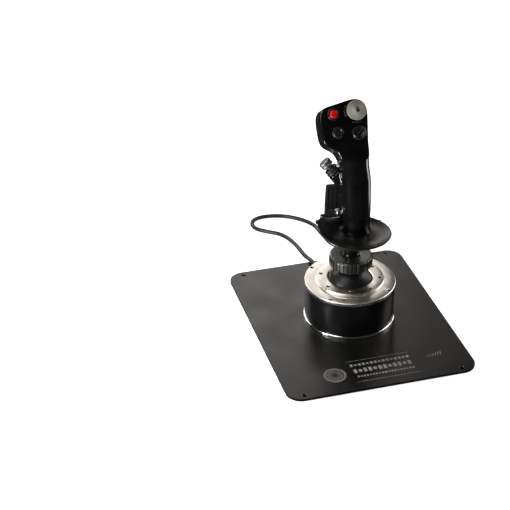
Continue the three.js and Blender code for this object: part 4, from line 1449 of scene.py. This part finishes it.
def build_plug():
    low, high = low_high("usb_plug")
    at = (low + high) / 2
    half = (high - low) / 2 / MM
    relief = 6
    outline = [(x + relief / 2, y) for x, y in rounded_rectangle(half.x - relief / 2, half.y, 3, 8)]
    body = prism(bmesh.new(), outline, -half.z, half.z, Matrix.Translation(at))
    plug = make("plug_body", body, slot_material("usb_plug"), bevel=1.1)
    settle(plug)
    tools = bmesh.new()
    for k in range(5):
        x = -4 + 2.2 * k
        for z in (-half.z, half.z):
            brick(tools, (x, -4.5, z - 0.35), (x + 1, 4.5, z + 0.35), Matrix.Translation(at))
    carve(plug, tools)
    sleeve = [(0, -half.x), (2.9, -half.x), (3.2, -half.x + 1.4), (2.8, -half.x + 1.6), (2.8, -half.x + 2.2),
              (3.4, -half.x + 2.4), (3.5, -half.x + 3.6), (3.0, -half.x + 3.8), (3.0, -half.x + 4.4),
              (3.8, -half.x + 4.6),
              (3.9, -half.x + 7), (0, -half.x + 7)]
    carve(plug, lathe(bmesh.new(), sleeve, matrix_along(at, ACROSS), 40), "UNION")
    fit(shade(plug, 40), "base", "usb_plug")

    low, high = low_high("usb_shell")
    at = (low + high) / 2
    half = (high - low) / 2 / MM
    shell = make(
        "plug_shell", brick(bmesh.new(), -half, half, Matrix.Translation(at)), slot_material("usb_shell"),
        bevel=0.5,
    )
    settle(shell)
    wall = 0.4
    carve(
        shell,
        brick(
            bmesh.new(), (-half.x + 1, wall - half.y, wall - half.z),
            (half.x + 2, half.y - wall, half.z - wall), Matrix.Translation(at),
        ),
    )
    tools = bmesh.new()
    for y in (-3.8, 1.4):
        brick(tools, (0.5, y, half.z - 1), (3.0, y + 2.4, half.z + 1), Matrix.Translation(at))
    carve(shell, tools)
    fit(shade(shell, 40), "base", "usb_shell")
    tongue = brick(
        bmesh.new(), (1 - half.x, wall - half.y + 0.3, -half.z + wall + 0.2),
        (half.x - 0.8, half.y - wall - 0.3, -0.1), Matrix.Translation(at),
    )
    tongue = make("plug_tongue", tongue, MATERIALS["hat_black"], bevel=0.2)
    fit(tongue, "base", slot="hat_black")
    return [plug, shell, tongue]


build_plate()
build_print()
build_feet()
build_drum()
build_top_ring()
build_retaining_ring()
build_dome()
build_nut()
build_palm_rest()
build_neck()
build_grip()
build_face_marks()
build_trim_hat()
build_face_hats()
build_buttons()
build_thumb_hat()
build_trigger()
build_paddle()
build_paddle_bracket()
build_gland()
cord_pieces = [*build_plug(), build_tie()]

# ---- carried-over CAD nodes ----
for name, node in frame["nodes"].items():
    node.data.materials.clear()
    node.data.materials.append(slot_material(name))


# ---- stage and light ----
def make_stage():
    """A pale floor that gloss doesn't mirror, as on a product table with black cards round it, and a dark
    sheet under the plate as painted shadow.
    """
    bpy.ops.mesh.primitive_plane_add(size=8, location=(0, 1.0, GROUND))
    floor = bpy.context.object
    floor.name = "floor"
    floor.visible_glossy = False
    material = bpy.data.materials.new("pale_floor")
    material.use_nodes = True
    shader = material.node_tree.nodes["Principled BSDF"]
    shader.inputs["Base Color"].default_value = (0.93, 0.93, 0.93, 1)
    shader.inputs["Roughness"].default_value = 0.9
    shader.inputs["Emission Color"].default_value = (1, 1, 1, 1)
    shader.inputs["Emission Strength"].default_value = FLOOR_GLOW
    floor.data.materials.append(material)
    # Painted shadow: a dark sheet on the floor under the plate, so the floor seen through the plate's corner
    # holes looks shaded instead of lit.
    bm = bmesh.new()
    outline = rounded_rectangle(PLATE_HIGH.x / MM - 3, PLATE_HIGH.y / MM - 3, 16)
    prism(bm, outline, GROUND / MM + 0.02, GROUND / MM + 0.1, Matrix())
    make("painted_shadow_card", bm, MATERIALS["rubber"])


def soft_light(name, at, aim, size, watts, colour=(1, 1, 1)):
    data = bpy.data.lights.new(name, "AREA")
    data.shape = "RECTANGLE"
    data.size, data.size_y = size
    data.energy = watts
    data.color = colour
    light = bpy.data.objects.new(name, data)
    bpy.context.scene.collection.objects.link(light)
    light.location = at
    light.visible_camera = False
    light.rotation_mode = "QUATERNION"
    light.rotation_quaternion = (Vector(aim) - Vector(at)).to_track_quat("-Z", "Y")
    return light


FLOOR_GLOW = 0.85
ROOM_WHITE = 1.0
ROOM_DARK = 0.03


def make_world():
    """White behind the object, and a dark room for its gloss to mirror."""
    world = bpy.data.worlds.new("studio")
    bpy.context.scene.world = world
    world.use_nodes = True
    tree = world.node_tree
    room = tree.nodes["Background"]
    room.inputs["Color"].default_value = (1.0, 0.97, 0.94, 1)
    room.inputs["Strength"].default_value = ROOM_DARK
    white = tree.nodes.new("ShaderNodeBackground")
    white.inputs["Strength"].default_value = ROOM_WHITE
    white.inputs["Color"].default_value = (1, 1, 1, 1)
    rays = tree.nodes.new("ShaderNodeLightPath")
    mix = tree.nodes.new("ShaderNodeMixShader")
    tree.links.new(rays.outputs["Is Camera Ray"], mix.inputs["Fac"])
    tree.links.new(room.outputs["Background"], mix.inputs[1])
    tree.links.new(white.outputs["Background"], mix.inputs[2])
    tree.links.new(mix.outputs["Shader"], tree.nodes["World Output"].inputs["Surface"])


def make_light():
    make_world()
    warm = (1.0, 0.955, 0.91)
    soft_light("key", (-1.0, -0.5, 1.4), (0, 0, 0.12), (0.8, 0.9), 13, warm)
    soft_light("back", (0.08, 1.6, 0.92), (0, 0, 0.1), (1.2, 0.6), 5.6, warm)
    soft_light("back_left", (-0.75, 1.5, 1.0), (0, 0, 0.1), (0.9, 0.7), 15, warm)
    soft_light("side", (1.3, 0.1, 0.8), (0, 0, 0.1), (0.6, 0.9), 10, warm)
    soft_light("low_left", (-0.45, -0.14, 0.06), (0, 0, 0.19), (0.06, 0.2), 4.0)
    soft_light("low_right", (0.42, 0.16, 0.06), (0, 0, 0.19), (0.1, 0.25), 0.25)


make_stage()
make_light()
bpy.context.scene.view_settings.view_transform = "Standard"
